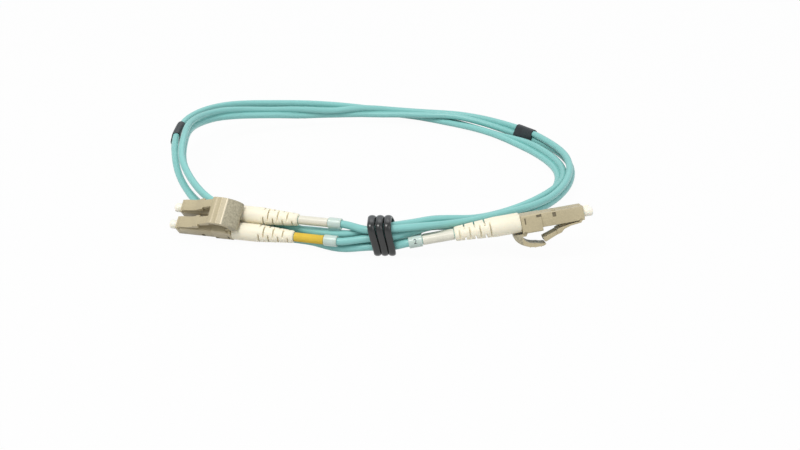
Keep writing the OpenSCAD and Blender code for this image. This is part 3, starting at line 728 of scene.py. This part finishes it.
PASS_A = Pass((
    (-98, 69.5, 7.8, 90, 3), (-86, 69.5, 7.8, 90, 3), (-80, 69.11, 8.23, 66.5, 3), (-72, 67.61, 8.21, 30.9, 3),
    (-62, 66.75, 6.35, 57.8, 3), (-50, 68.27, 5.64, 77.6, 3), (-30, 72.31, 4.98, 75.4, 3),
    (0, 74.54, 4.95, 112.7, 3), (20, 72.38, 4.28, 102.3, 2.6), (36, 70.58, 3.53, 52, 2.6),
    (56, 66.26, 4.68, 4.1, 2.6), (70, 62.51, 4.54, 10.4, 2.6), (82, 60.41, 4.85, 31.4, 2.6),
    (94, 59.67, 5.45, 81, 2.6), (108, 60.28, 5.58, 120.7, 2.6), (128, 64.96, 7.87, 43.4, 2.6),
    (150, 73.09, 11.7, 81.4, 2.6), (180, 68.92, 15.71, 93, 2.6), (196, 69.36, 12.63, 75.1, 2.6),
    (210, 67.46, 7.67, 52.6, 2.6), (220, 65.18, 5.54, 38.6, 2.6), (230, 62.2, 4.51, 55.1, 2.6),
    (241, 60.64, 3.75, 52, 2.6), (252, 61.31, 3.95, 14.1, 2.6), (260, 62.99, 4.59, 14.6, 2.6),
    (266, 64.47, 5.49, 31.4, 2.6), (271, 65.69, 6.69, 60.7, 2.6), (276, 66.5, 7.8, 90, 2.6)))
PASS_B = Pass((
    (276, 66.5, 7.8, 90, 2.6), (282, 65.12, 7.75, 86.4, 2.6), (290, 63.61, 7.4, 82.8, 2.6),
    (305, 63.7, 5.24, 41.2, 2.6), (330, 68.88, 4.88, 62.5, 2.6), (355, 70.9, 3.15, 37.7, 2.6),
    (378, 67.73, 2.34, 48.4, 2.6), (398, 64.45, 1.86, -16.3, 2.6), (420, 64.6, 1.71, -6.3, 2.6),
    (436, 66.52, 1.91, -3.1, 2.6), (448, 68.33, 2.46, 12.1, 2.6), (458, 70.12, 3.22, 37.9, 2.6),
    (468, 72.23, 4.33, 65, 2.6), (482, 75.7, 6.34, 88.5, 2.6), (500, 79.8, 9.68, 81.2, 2.6),
    (515, 79.04, 11.32, 95.7, 2.6), (528, 76.29, 11.06, 107.8, 2.69), (540, 72.99, 9.64, 93.8, 2.8),
    (560, 69.92, 5.43, 63.2, 3), (576, 67.67, 2.45, 26.6, 3), (590, 64.96, 1.44, -0.7, 3),
    (612, 63.38, 1.66, 6.9, 3), (622, 65.68, 1.91, -19.2, 3), (630, 68, 3.25, 0, 3), (642, 68.5, 3.25, 0, 3)))


def turns(start: float, stop: float, step: float) -> list[float]:
    """Turn angles from start to stop, both included."""
    count = max(1, round((stop - start) / step))
    return [start + (stop - start) * i / count for i in range(count + 1)]


def link(a: Vector, leaving: Vector, d: Vector, arriving: Vector, reach: float, count: int) -> Path:
    """Points of a smooth curve between two ends, without the ends.

    Args:
        a: start.
        leaving: direction at the start.
        d: end.
        arriving: direction at the end.
        reach: how far each direction is followed, in millimetres.
        count: number of points.

    Returns:
        The points.
    """
    b, c = a + reach * leaving, d - reach * arriving
    shares = [(i + 1) / (count + 1) for i in range(count)]
    return [(1 - u) ** 3 * a + 3 * u * (1 - u) ** 2 * b + 3 * u * u * (1 - u) * c + u**3 * d for u in shares]


# ---- one channel of a plug ----


@dataclass(frozen=True)
class PlugPlace:
    """Where a plug lies.

    Attributes:
        end: letter of the cord's end.
        centre: middle of the mating face, in millimetres.
        turn: turn about the vertical, in degrees.
        rise: how far the nose points up, in degrees.
        roll: turn about the plug's own axis, in degrees.
    """

    end: str
    centre: tuple[float, float, float]
    turn: float
    rise: float
    roll: float

    def matrix(self, y: float = 0.0) -> Matrix:
        """From the plug's own millimetres, moved across by y, to the frame."""
        return (Matrix.Translation(Vector(self.centre) * MM) @ Matrix.Rotation(math.radians(self.turn), 4, "Z")
                @ Matrix.Rotation(math.radians(-self.rise), 4, "Y")
                @ Matrix.Rotation(math.radians(self.roll), 4, "X")
                @ Matrix.Scale(MM, 4) @ Matrix.Translation((0, y, 0)))

    def point(self, b: float, y: float) -> Vector:
        """A point on a channel's axis, in the frame's millimetres."""
        return self.matrix() @ Vector((-b, y, 0)) / MM

    def back(self) -> Vector:
        """The direction from the mating face to the boots."""
        return (self.point(1, 0) - self.point(0, 0)).normalized()


@dataclass
class Channel:
    """One fibre's connector: housing, latch, cap, boot, label and collar.

    Sizes are in millimetres.
    """

    place: PlugPlace
    number: int
    pitch: float = 6.25
    width: float = 4.52
    length: float = 13.5
    neck_width: float = 4.0
    neck_b: float = 16.0
    recess_radius: float = 1.6
    recess_depth: float = 4.4
    stop_wall: float = 1.2
    cavity_radius: float = 1.65
    hook_b: float = 8.8
    latch_pin_b: float = 1.2
    latch_pin_radius: float = 0.45
    latch_width: float = 4.0
    tail_width: float = 2.8
    cap_radius: float = 1.5
    cap_in: float = 4.2
    cap_out: float = 3.0
    ferrule_radius: float = 0.66
    boot_b: float = 20.2
    boot_end_b: float = 41.6
    boot_smooth: float = 8.1
    boot_radius: float = 2.95
    boot_tip_radius: float = 2.0
    boot_hold: float = 1.35
    slot_count: int = 4
    slot_width: float = 0.5
    crimp_radius: float = 1.9
    leg_radius: float = 1.3
    label_b: float = 41.8
    label_length: float = 10.2
    label_wall: float = 0.2
    collar_b: float = 52.2
    collar_length: float = 4.4
    collar_wall: float = 0.55

    @property
    def tag(self) -> str:
        """Letter and number of the channel, as in a1."""
        return f"{self.place.end}{self.number}"

    @property
    def printed(self) -> str:
        """Digit on the collar, crossed over from one end of the cord to the other."""
        return str(self.number if self.place.end == "a" else 3 - self.number)

    @property
    def y(self) -> float:
        """Where the channel lies across the plug."""
        return self.pitch / 2 * (1 if self.number == 1 else -1)

    @property
    def matrix(self) -> Matrix:
        """From the channel's own millimetres to the frame."""
        return self.place.matrix(self.y)

    def housing(self) -> bmesh.types.BMesh:
        """Square body and neck, with the cap's recess, the spring cavity and the hook recesses."""
        half = self.width / 2
        body = softened(block(0, self.length, self.width, -half, half), 0.32, where=runs_along)
        neck = block(self.length - 0.5, self.neck_b, self.neck_width, -self.neck_width / 2, self.neck_width / 2)
        body = combined(body, softened(neck, 0.2, where=runs_along), Fit.JOIN)
        body = softened(body, 0.12, 60.0)
        wall = self.recess_depth + self.stop_wall
        lead = lathe([(-0.5, 0), (-0.5, self.recess_radius + 0.7), (0.2, self.recess_radius), (0.4, 0)])
        for cutter in (
            rod(self.recess_radius, -0.5, self.recess_depth),
            lead,
            rod(0.85, self.recess_depth - 0.5, wall + 0.5),
            rod(self.cavity_radius, wall, self.neck_b + 0.5),
            knuckle(self.latch_pin_radius + 0.05, 2 * self.width, self.latch_pin_b, half - 0.1),
            joined(*(block(self.hook_b, self.hook_b + 1.1, 0.8, -half + 0.4, -half + 1.8, s * (half + 0.1))
                     for s in (-1, 1))),
            block(self.hook_b, self.hook_b + 1.1, 2.4, -half - 0.5, -half + 0.35),
        ):
            body = combined(body, cutter, Fit.CUT)
        # Painted shade on the walls of the hook recesses.
        shade_recesses(body, [(self.hook_b, self.hook_b + 1.1, -half + 0.4, -half + 1.8)], half - 0.1)
        return body

    def latch(self) -> bmesh.types.BMesh:
        """Springy arm from a knuckle at the nose to the shoulder and its narrower tail."""
        z, b = self.width / 2 - 0.1, self.latch_pin_b
        head = slab(self.latch_width, [
            (b - 0.25, z + 0.05), (b + 0.35, z + 0.05), (b + 0.4, z + 0.28), (3, z + 0.42), (4.8, z + 0.62),
            (8.4, z + 1.3), (9.3, z + 1.75), (9.3, z + 3.26), (7.9, z + 2.84), (6.9, z + 1.9), (4.8, z + 1.2),
            (b, z + 0.79)])
        tail = slab(self.tail_width, [
            (8.4, z + 1.5), (9.3, z + 1.95), (13.9, z + 3.5), (13.6, z + 4.84), (13.2, z + 4.9), (9.4, z + 3.34),
            (8.4, z + 3)])
        arm = combined(softened(head, 0.12), softened(tail, 0.12), Fit.JOIN)
        return combined(arm, knuckle(self.latch_pin_radius, self.latch_width, b, z), Fit.JOIN)

    def cap(self) -> bmesh.types.BMesh:
        """Dust cap over the ferrule, closed and domed outside."""
        r, out, reach = self.cap_radius, self.cap_out, self.cap_in
        bore = self.ferrule_radius
        return lathe([
            (-out, 0), (-out, r * 0.55), (-out + 0.05, r * 0.75), (-out + 0.18, r * 0.9), (-out + 0.42, r - 0.02),
            (-out + 0.7, r), (-0.5, r), (-0.35, r - 0.06), (reach - 0.3, r - 0.06), (reach, r - 0.25),
            (reach, bore + 0.15), (reach - 0.2, bore), (-1.9, bore), (-1.9, 0)], 48)

    def boot(self) -> bmesh.types.BMesh:
        """Bend boot: a smooth grip, then a taper cut by crossed rings of slots."""
        b, end, r, tip = self.boot_b, self.boot_end_b, self.boot_radius, self.boot_tip_radius
        smooth = b + self.boot_smooth
        taper = [(smooth + (end - 0.5 - smooth) * u, r + (tip + 0.05 - r) * u) for u in (0.0, 0.33, 0.66, 1.0)]
        inner = 1.55
        body = lathe([
            (b, self.crimp_radius), (b, r - 0.3), (b + 0.08, r - 0.12), (b + 0.25, r - 0.01), (smooth - 0.3, r),
            *taper, (end - 0.15, tip - 0.1), (end, tip - 0.3), (end, self.leg_radius),
            (smooth + 0.5, self.leg_radius), (smooth - 0.5, inner), (smooth - 0.6, self.crimp_radius)],
            56, closed=True)
        step = (end - smooth) / self.slot_count
        cutters = []
        for k in range(self.slot_count):
            at = smooth + 1.4 + step * k
            for s in (-1, 1):
                low = self.boot_hold if s > 0 else -self.boot_hold - r
                cutters.append(block(at, at + self.slot_width, r, -r, r, low + r / 2))
                if k < self.slot_count - 1:
                    cutters.append(block(at + step / 2, at + step / 2 + self.slot_width, 2 * r, low, low + r))
        body = combined(body, joined(*cutters), Fit.CUT)
        return softened(body, 0.07, 55.0, 1, lambda e: min(v.co.yz.length for v in e.verts) > self.boot_hold + 0.12)

    def tube(self, b: float, length: float, wall: float) -> bmesh.types.BMesh:
        """A thin tube on the leg with rolled edges."""
        inner, outer, far = self.leg_radius - 0.03, self.leg_radius + wall, b + length
        edge = min(0.12, wall / 2)
        return lathe([
            (b, inner), (b, outer - edge), (b + edge, outer), (b + 0.35 * length, outer + 0.02),
            (b + 0.7 * length, outer - 0.01), (far - edge, outer), (far, outer - edge), (far, inner)], 40, closed=True)

    def digit(self) -> bmesh.types.BMesh:
        """The channel's number, wrapped on the collar."""
        words = bpy.data.curves.new("work", "FONT")
        words.body, words.size, words.align_x, words.align_y = self.printed, 2.3, "CENTER", "CENTER"
        words.resolution_u = 4
        obj = bpy.data.objects.new("work", words)
        bpy.context.scene.collection.objects.link(obj)
        view = bpy.context.evaluated_depsgraph_get()
        bm = bmesh.new()
        bm.from_mesh(obj.evaluated_get(view).to_mesh())
        bpy.data.objects.remove(obj)
        bmesh.ops.remove_doubles(bm, verts=bm.verts, dist=1e-4)
        bmesh.ops.triangulate(bm, faces=bm.faces)
        bmesh.ops.subdivide_edges(bm, edges=bm.edges, cuts=1)
        r = self.leg_radius + self.collar_wall + 0.012
        middle = self.collar_b + self.collar_length / 2
        facing = DIGIT_FACING[self.place.end]
        for vert in bm.verts:
            a = math.radians(facing[0]) + vert.co.y * facing[1] / r
            vert.co = Vector((-middle + vert.co.x * facing[1], r * math.sin(a), r * math.cos(a)))
        bmesh.ops.recalc_face_normals(bm, faces=bm.faces)
        for face in bm.faces:
            if face.normal.dot(Vector((0, *face.calc_center_median().yz))) < 0:
                face.normal_flip()
        bmesh.ops.solidify(bm, geom=bm.faces, thickness=0.02)
        return bm

    def build(self) -> None:
        """Makes the channel's pieces in their places."""
        tag, place = self.tag, self.matrix
        add_piece(f"connector_body_{tag}", self.housing(), [BEIGE, RECESS_PAINTED_SHADE], ROOT, [f"housing_{tag}"], place, 30)
        add_piece(f"latch_arm_{tag}", self.latch(), [BEIGE], f"latch_{tag}_body", [f"latch_{tag}"], place, 30)
        add_piece(f"dust_cap_{tag}", self.cap(), [CAP_WHITE], f"cap_{tag}_body", [f"cap_{tag}"], place)
        add_piece(f"bend_boot_{tag}", self.boot(), [CREAM], ROOT, [f"boot_{tag}"], place, 35)
        add_piece(f"label_tube_{tag}", self.tube(self.label_b, self.label_length, self.label_wall),
                  [YELLOW if tag == "a1" else PALE], ROOT, [f"label_{tag}"], place)
        collar = self.tube(self.collar_b, self.collar_length, self.collar_wall)
        digit = self.digit()
        for face in digit.faces:
            face.material_index = 1
        add_piece(f"number_collar_{tag}", joined(collar, digit), [COLLAR, DIGIT], ROOT, [f"flag_{tag}"], place)

    def dress(self) -> None:
        """Gives the channel's held parts their finishes."""
        for node, finish in (("ferrule", CERAMIC), ("ferrule_flange", NICKEL), ("rear_body", INNER),
                             ("crimp_sleeve", PRESSED)):
            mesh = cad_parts[f"{node}_{self.tag}"].data
            mesh.materials.clear()
            mesh.materials.append(finish.material())


DIGIT_FACING = {"a": (200.0, -1.0), "b": (97.0, 1.0)}


@dataclass
class CoilSpring:
    """The spring behind a ferrule, one wire with closed ends. Sizes are in millimetres."""

    channel: Channel
    front_b: float = 7.65
    back_b: float = 13.2
    radius: float = 1.15
    wire: float = 0.35
    coils: int = 6
    float_travel: float = 1.0
    steps: int = 24

    def build(self) -> None:
        """Makes the spring."""
        count = self.steps * self.coils
        rise = self.back_b - self.front_b - self.wire
        path = []
        for i in range(count + 1):
            a, u = math.tau * i / self.steps, i / count
            path.append(Vector((-(self.front_b + self.wire / 2 + rise * u), self.radius * math.cos(a),
                                self.radius * math.sin(a))))
        rings = []
        for point, way in zip(path, headings(path)):
            out = Vector((0, point.y, point.z)).normalized()
            side = way.cross(out).normalized()
            rings.append([point + self.wire / 2 * (math.cos(math.tau * k / 10) * out + math.sin(math.tau * k / 10) * side)
                          for k in range(10)])
        tag = self.channel.tag
        spring = add_piece(f"coil_spring_{tag}", swept(rings, distances(path), math.pi * self.wire), [STEEL], ROOT,
                           [f"spring_{tag}"], self.channel.matrix)
        place = self.channel.place
        tuple(place.back())
        tuple(place.point(self.back_b, self.channel.y) * MM)
        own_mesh(spring)


# ---- one plug ----


@dataclass
class Plug:
    """Two channels held side by side by a clip, with the trigger over their latches.

    Sizes are in millimetres.
    """

    place: PlugPlace
    clip_b: float = 13.5
    clip_back_b: float = 20.1
    clip_rear: float = 1.2
    clip_width: float = 11.4
    clip_down: float = 2.4
    clip_up: float = 3.4
    trigger_width: float = 9.6
    pin_b: float = 19.2
    pin_radius: float = 0.55
    channels: list[Channel] = field(default_factory=list)

    def __post_init__(self) -> None:
        """Fills the plug with its two channels."""
        self.channels = [Channel(self.place, number) for number in (1, 2)]

    def clip(self) -> bmesh.types.BMesh:
        """Block that snaps over both necks, with the trigger's hinge groove."""
        body = softened(block(self.clip_b, self.clip_back_b, self.clip_width, -self.clip_down, self.clip_up), 0.5,
                        segments=3, where=runs_along)
        body = softened(body, 0.15, 60.0)
        room = self.channels[0].neck_width + 0.1
        half = self.clip_width / 2
        inner_back = self.clip_back_b - self.clip_rear
        cutters = [knuckle(self.pin_radius + 0.05, 2 * self.clip_width, self.pin_b, self.clip_up)]
        for channel in self.channels:
            cutters.append(block(self.clip_b - 0.5, inner_back, room, -room / 2, room / 2, channel.y))
            cutters.append(rod(1.75, inner_back - 0.5, self.clip_back_b + 0.5, channel.y))
        for s in (-1, 1):
            cutters.append(block(inner_back - 0.3, inner_back + 0.1, 0.8, -1.5, 0.5, s * (half + 0.1)))
            cutters.append(block(self.clip_b - 0.5, self.clip_b + 1.6, 0.8, -2, -1.2, s * (half + 0.05)))
        for cutter in cutters:
            body = combined(body, cutter, Fit.CUT)
        # Painted shade on the walls of the clip's side recesses.
        shade_recesses(body, [(inner_back - 0.3, inner_back + 0.1, -1.5, 0.5),
                              (self.clip_b - 0.5, self.clip_b + 1.6, -2, -1.2)], half - 0.1)
        return body

    def trigger(self) -> bmesh.types.BMesh:
        """Curved thumb piece: knuckle, rounded back, ridges and the lip over the latches."""
        back = rounded([(2.9, 0.05), (3.6, 0.12), (3.83, 0.45), (3.85, 1), (3.65, 1.6), (3.2, 2.2), (2.5, 2.9),
                        (1.5, 3.6), (0.25, 4.2), (-0.4, 4.45)], 3)
        ridges = [(-0.6, 4.75), (-0.9, 4.6), (-2.1, 4.78), (-2.3, 5), (-2.6, 4.85), (-3.9, 4.85), (-4.1, 5.05),
                  (-4.4, 4.85), (-4.85, 4.85), (-5.5, 4.65), (-5.9, 4.3)]
        under = rounded([(-5.7, 4.1), (-4.4, 4.0), (-3.4, 3.7), (-2.2, 3.5), (-0.9, 3.15), (0.1, 2.6), (0.8, 1.8),
                         (1.1, 0.9)], 3) + [(-0.15, 0.9), (-0.15, 0.05)]
        outline = [(self.pin_b + b, self.clip_up + z) for b, z in (*back, *ridges, *under)]
        body = softened(slab(self.trigger_width, outline), 0.07, 50.0, 1)
        body = combined(body, knuckle(self.pin_radius, self.trigger_width, self.pin_b, self.clip_up), Fit.JOIN)
        arc_b = 1.3
        bmesh.ops.bisect_plane(body, geom=[*body.verts, *body.edges, *body.faces],
                               plane_co=(-(self.pin_b + arc_b), 0, 0), plane_no=(1, 0, 0))
        body.normal_update()
        # Material 0, the darker pebbled beige, is painted shade on the rear arc and the underside; material 1 is plain
        # beige on the sides ahead of the arc.
        for face in body.faces:
            spot = -face.calc_center_median().x - self.pin_b
            if face.normal.z > 0.2 and abs(face.normal.y) < 0.8 and spot < -0.35:
                # Painted highlights on the ridge tops: material 2 on the ridge nearest the hinge, material 3, softer,
                # on the two ahead of it.
                face.material_index = next((i for low, i in ((-4.45, 3), (-2.65, 3), (-0.95, 2))
                                            if low < spot < low + 0.6), 1)
            else:
                face.material_index = 1 if abs(face.normal.y) > 0.8 and spot < arc_b else 0
        return body

    def build(self) -> None:
        """Makes the plug's pieces in their places."""
        end, place = self.place.end, self.place.matrix()
        add_piece(f"duplex_clip_{end}", self.clip(), [BEIGE, RECESS_PAINTED_SHADE], ROOT, [f"clip_{end}"], place, 30)
        add_piece(f"thumb_trigger_{end}", self.trigger(), [PEBBLED_PAINTED_SHADE, BEIGE, RIDGE_PAINTED_HIGHLIGHT, RIDGE_PAINTED_SOFT_HIGHLIGHT], f"trigger_{end}_body",
                  [f"trigger_{end}"], place, 30)
        for channel in self.channels:
            channel.build()
            channel.dress()
            CoilSpring(channel).build()
        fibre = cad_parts[f"fibre_{end}"].data
        fibre.materials.clear()
        fibre.materials.append(BUFFER.material())


# ---- cords ----


@dataclass
class Leg:
    """One single-fibre leg, from inside its boot to the breakout sleeve. Sizes are in millimetres."""

    channel: Channel
    route: Pass
    side: int
    start_b: float = 25.1
    straight_b: float = 56.9
    diameter: float = 2.5
    sides: int = 24

    def path(self) -> Path:
        """The leg's middle, from the connector on."""
        raise NotImplementedError

    def head(self) -> Path:
        """The straight stretch from the crimp to behind the collar."""
        count = 12
        span = self.straight_b - self.start_b
        return [self.channel.place.point(self.start_b + span * i / count, self.channel.y) for i in range(count + 1)]

    def strand_way(self, turn: float) -> Vector:
        """Direction of this leg of the pair."""
        return (self.route.strand(turn + 1, self.side) - self.route.strand(turn - 1, self.side)).normalized()

    def build(self) -> None:
        path, tag = self.path(), self.channel.tag
        rings = round_rings(path, lambda u: self.diameter / 2, self.sides)
        leg = add_piece(f"leg_cord_{tag}", swept(rings, distances(path), math.pi * self.diameter), [AQUA], ROOT,
                        [f"leg_{tag}"], angle=60)
        exit_point = self.channel.place.point(self.channel.boot_end_b, self.channel.y) * MM
        distances(path)[-1] * MM
        [tuple(p * MM) for p in path]


@dataclass
class LegA(Leg):
    """A leg at end A, which passes through the tie and once part way round."""

    tie_turn: float = -90.0
    sleeve_turn: float = 29.5
    reach: float = 2.6

    def path(self) -> Path:
        """From the connector, through the tie, to sleeve A."""
        head = self.head()
        tail = [self.route.strand(t, self.side) for t in turns(self.tie_turn, self.sleeve_turn, 2.0)]
        return [*head, *link(head[-1], self.channel.place.back(), tail[0], self.strand_way(self.tie_turn), self.reach,
                             8), *tail]


@dataclass
class LegB(Leg):
    """A leg at end B, which comes from sleeve B through the tie."""

    tie_turn: float = 636.0
    sleeve_turn: float = 527.0
    reach: float = 1.2

    def path(self) -> Path:
        """From the connector back to sleeve B."""
        head = self.head()
        tail = [self.route.strand(t, self.side) for t in turns(self.sleeve_turn, self.tie_turn, 2.0)][::-1]
        return [*head, *link(head[-1], self.channel.place.back(), tail[0], -self.strand_way(self.tie_turn),
                             self.reach, 4), *tail]


@dataclass
class ZipCord:
    """Two jackets joined by a web, wound twice round. Sizes are in millimetres."""

    start: float = 29.5
    change: float = 276.0
    stop: float = 527.0
    jacket: float = 2.5
    gap: float = 2.6
    web: float = 0.34
    step: float = 2.5
    around: int = 14

    def outline(self) -> list[tuple[float, float]]:
        """Figure-eight section: two round jackets and the web between them."""
        r, half = self.jacket / 2, self.gap / 2
        spread = math.pi - math.asin(self.web / r)
        right = [(half + r * math.cos(a), r * math.sin(a))
                 for a in (-spread + 2 * spread * k / self.around for k in range(self.around + 1))]
        return right + [(-x, -y) for x, y in right]

    def build(self) -> None:
        spots = [(PASS_A, t) for t in turns(self.start, self.change, self.step)]
        spots += [(PASS_B, t) for t in turns(self.change, self.stop, self.step)[1:]]
        rings, path, outline = [], [], self.outline()
        for route, turn in spots:
            middle, over = route.middle(turn), route.square(turn)
            up = over.cross(route.way(turn))
            path.append(middle)
            rings.append([middle + x * over + y * up for x, y in outline])
        cord = add_piece("zip_cord", swept(rings, distances(path), math.pi * self.jacket * 2), [AQUA], ROOT,
                         ["duplex_cord"], angle=50)
        distances(path)[-1] * MM
        [tuple(p * MM) for p in path]


@dataclass
class BreakoutSleeve:
    """Shrunk sleeve where two legs leave the zip cord. Sizes are in millimetres."""

    end: str
    route: Pass
    turn: float
    half: float = 4.2
    hole: float = 1.37
    wall: float = 0.3
    gap: float = 2.6

    def ring(self, turn: float, radius: float) -> Path:
        """Oval ring round the pair."""
        middle, over = self.route.middle(turn), self.route.square(turn)
        up, half = over.cross(self.route.way(turn)), self.gap / 2
        right = [(half + radius * math.cos(a), radius * math.sin(a))
                 for a in (-math.pi / 2 + math.pi * k / 12 for k in range(13))]
        return [middle + x * over + y * up for x, y in right + [(-x, -y) for x, y in right]]

    def build(self) -> None:
        """Makes the sleeve, waisted in the middle and rounded at its lips."""
        shares = (-1.0, -0.985, -0.94, -0.6, -0.2, 0.2, 0.6, 0.94, 0.985, 1.0)
        walls = (0.16, 0.26, 0.3, 0.28, 0.22, 0.22, 0.28, 0.3, 0.26, 0.16)
        rings = [self.ring(self.turn + self.half * u, self.hole + w) for u, w in zip(shares, walls)]
        rings += [self.ring(self.turn + self.half * u, self.hole) for u in (1.0, 0.5, 0.0, -0.5, -1.0)]
        rings.append(rings[0])
        lengths = [0.3 * i for i in range(len(rings))]
        add_piece(f"breakout_sleeve_{self.end}", swept(rings, lengths, 10.0, closed=True), [BLACK], ROOT,
                  [f"split_sleeve_{self.end}"])


@dataclass
class TwistTie:
    """Coated wire wound three times round the bundle. Sizes are in millimetres."""

    centre: tuple[float, float, float] = (3.4, -8.1, 6.4)
    half_y: float = 4.35
    half_z: float = 5.5
    pitch: float = 2.5
    wraps: int = 3
    lean: float = 0.25
    fan: float = 0.06
    wire: float = 1.4
    wire_width: float = 2.4
    squareness: float = 0.48
    first: float = -105.0
    last: float = 900.0

    def point(self, angle: float) -> Vector:
        """A point of the wire's middle at a wrap angle in degrees."""
        def bulge(c: float) -> float:
            return math.copysign(abs(c) ** self.squareness, c)
        a = math.radians(angle)
        z, y = self.half_z * bulge(math.sin(a)), self.half_y * bulge(math.cos(a))
        x, cy, cz = self.centre
        spread = 1 + self.fan * z / self.half_z
        return Vector((x + self.pitch * (angle / 360 - self.wraps / 2) * spread - self.lean * z, cy - y, cz + z))

    def build(self) -> None:
        path = [self.point(a) for a in turns(self.first, self.last, 7.5)]
        rings = []
        for p, way in zip(path, headings(path)):
            side = way.cross(Vector((1, 0, 0))).normalized()
            up = side.cross(way)
            rings.append([p + self.wire / 2 * math.cos(math.tau * k / 16) * side
                          + self.wire_width / 2 * math.sin(math.tau * k / 16) * up for k in range(16)])
        tie = add_piece("twist_tie", swept(rings, distances(path), math.pi * self.wire), [TIE_BLACK], ROOT, ["tie"],
                        angle=60)
        distances(path)[-1] * MM


# ---- studio ----


@dataclass
class Studio:
    """Camera, floor, lamps and surroundings. Sizes are in metres."""

    camera_place: tuple[float, float, float] = (0.003, -0.361, 0.169)
    camera_down: float = 24.24
    camera_turn: float = 0.81
    lens: float = 54.0
    floor_size: float = 6.0

    def camera(self) -> None:
        """Sets up the camera."""
        data = bpy.data.cameras.new("camera")
        data.lens, data.sensor_width, data.sensor_fit = self.lens, 36.0, "HORIZONTAL"
        data.clip_start = 0.01
        obj = bpy.data.objects.new("camera", data)
        obj.location = self.camera_place
        down, turn = math.radians(self.camera_down), math.radians(self.camera_turn)
        way = Vector((math.sin(turn) * math.cos(down), math.cos(turn) * math.cos(down), -math.sin(down)))
        obj.rotation_euler = way.to_track_quat("-Z", "Y").to_euler()
        bpy.context.scene.collection.objects.link(obj)
        bpy.context.scene.camera = obj

    def floor(self) -> None:
        """Lays a plain pale floor that keeps the object's shadow."""
        bm = bmesh.new()
        bmesh.ops.create_grid(bm, x_segments=1, y_segments=1, size=self.floor_size / 2)
        mesh = bpy.data.meshes.new("floor")
        bm.to_mesh(mesh)
        bm.free()
        made = bpy.data.materials.new("floor_white")
        made.use_nodes = True
        n, join = made.node_tree.nodes, made.node_tree.links.new
        shader, out = n["Principled BSDF"], n["Material Output"]
        shader.inputs["Base Color"].default_value = (0.62, 0.62, 0.62, 1.0)
        shader.inputs["Roughness"].default_value = 0.6
        shader.inputs["Specular IOR Level"].default_value = 0.2
        glow = n.new("ShaderNodeEmission")
        glow.inputs["Strength"].default_value = 1.0
        rays, mix, seen, more = (n.new(kind) for kind in (
            "ShaderNodeLightPath", "ShaderNodeMixShader", "ShaderNodeMath", "ShaderNodeMath"))
        seen.operation, more.operation = "MAXIMUM", "MULTIPLY"
        join(rays.outputs["Is Camera Ray"], seen.inputs[0])
        join(rays.outputs["Is Glossy Ray"], seen.inputs[1])
        join(seen.outputs[0], more.inputs[0])
        more.inputs[1].default_value = 0.965
        join(more.outputs[0], mix.inputs["Fac"])
        join(shader.outputs[0], mix.inputs[1])
        join(glow.outputs[0], mix.inputs[2])
        join(mix.outputs[0], out.inputs["Surface"])
        mesh.materials.append(made)
        obj = bpy.data.objects.new("floor", mesh)
        bpy.context.scene.collection.objects.link(obj)

    def surroundings(self) -> None:
        """A soft pale room, white where it is seen straight."""
        world = bpy.data.worlds.new("room")
        world.use_nodes = True
        n, join = world.node_tree.nodes, world.node_tree.links.new
        plain, white = n["Background"], n.new("ShaderNodeBackground")
        plain.inputs["Color"].default_value = (0.93, 0.96, 1.0, 1.0)
        plain.inputs["Strength"].default_value = 0.62
        white.inputs["Color"].default_value = (1, 1, 1, 1)
        rays, mix = n.new("ShaderNodeLightPath"), n.new("ShaderNodeMixShader")
        join(rays.outputs["Is Camera Ray"], mix.inputs["Fac"])
        join(plain.outputs[0], mix.inputs[1])
        join(white.outputs[0], mix.inputs[2])
        join(mix.outputs[0], n["World Output"].inputs["Surface"])
        bpy.context.scene.world = world

    def lamp(self, name: str, place: tuple[float, float, float], size: float, power: float, colour: Colour) -> None:
        """Adds a soft square lamp aimed at the object.

        Args:
            name: name of the lamp.
            place: where it hangs.
            size: side of the square.
            power: watts.
            colour: linear colour of its light.
        """
        data = bpy.data.lights.new(name, "AREA")
        data.shape, data.size, data.energy, data.color = "SQUARE", size, power, colour
        obj = bpy.data.objects.new(name, data)
        obj.location = place
        obj.rotation_euler = (Vector((0.0, 0.03, 0.0)) - Vector(place)).to_track_quat("-Z", "Y").to_euler()
        bpy.context.scene.collection.objects.link(obj)

    def lamps(self) -> None:
        """Hangs the key, fill and back lamps."""
        self.lamp("key", (-0.35, -0.35, 0.95), 0.45, 6.2, (1.0, 0.985, 0.96))
        self.lamp("fill", (0.7, -0.55, 0.6), 0.6, 1.5, (0.97, 0.985, 1.0))
        self.lamp("back", (0.1, 0.75, 0.8), 0.7, 1.3, (1.0, 1.0, 1.0))

    def build(self) -> None:
        """Sets up the whole studio."""
        self.camera()
        self.floor()
        self.surroundings()
        self.lamps()
        bpy.context.scene.view_settings.view_transform = "Standard"


PLACE_A = PlugPlace("a", (-65.6, 11.2, 5.05), 162.5, -1.4, -41)
PLACE_B = PlugPlace("b", (66.6, -7.6, 14.3), 1, 10.2, 161)


def main() -> None:
    """Builds the studio, the cords and the two plugs."""
    logging.basicConfig(level=logging.INFO, format="%(name)s: %(message)s")
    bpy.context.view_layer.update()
    Studio().build()
    plugs = [Plug(PLACE_A), Plug(PLACE_B)]
    for plug in plugs:
        plug.build()
    for channel, side in zip(plugs[0].channels, (-1, 1)):
        LegA(channel, PASS_A, side).build()
    for channel, side in zip(plugs[1].channels, (1, -1)):
        LegB(channel, PASS_B, side).build()
    BreakoutSleeve("a", PASS_A, 29.5).build()
    BreakoutSleeve("b", PASS_B, 527.0).build()
    ZipCord().build()
    TwistTie().build()


if __name__ == "__main__":
    main()
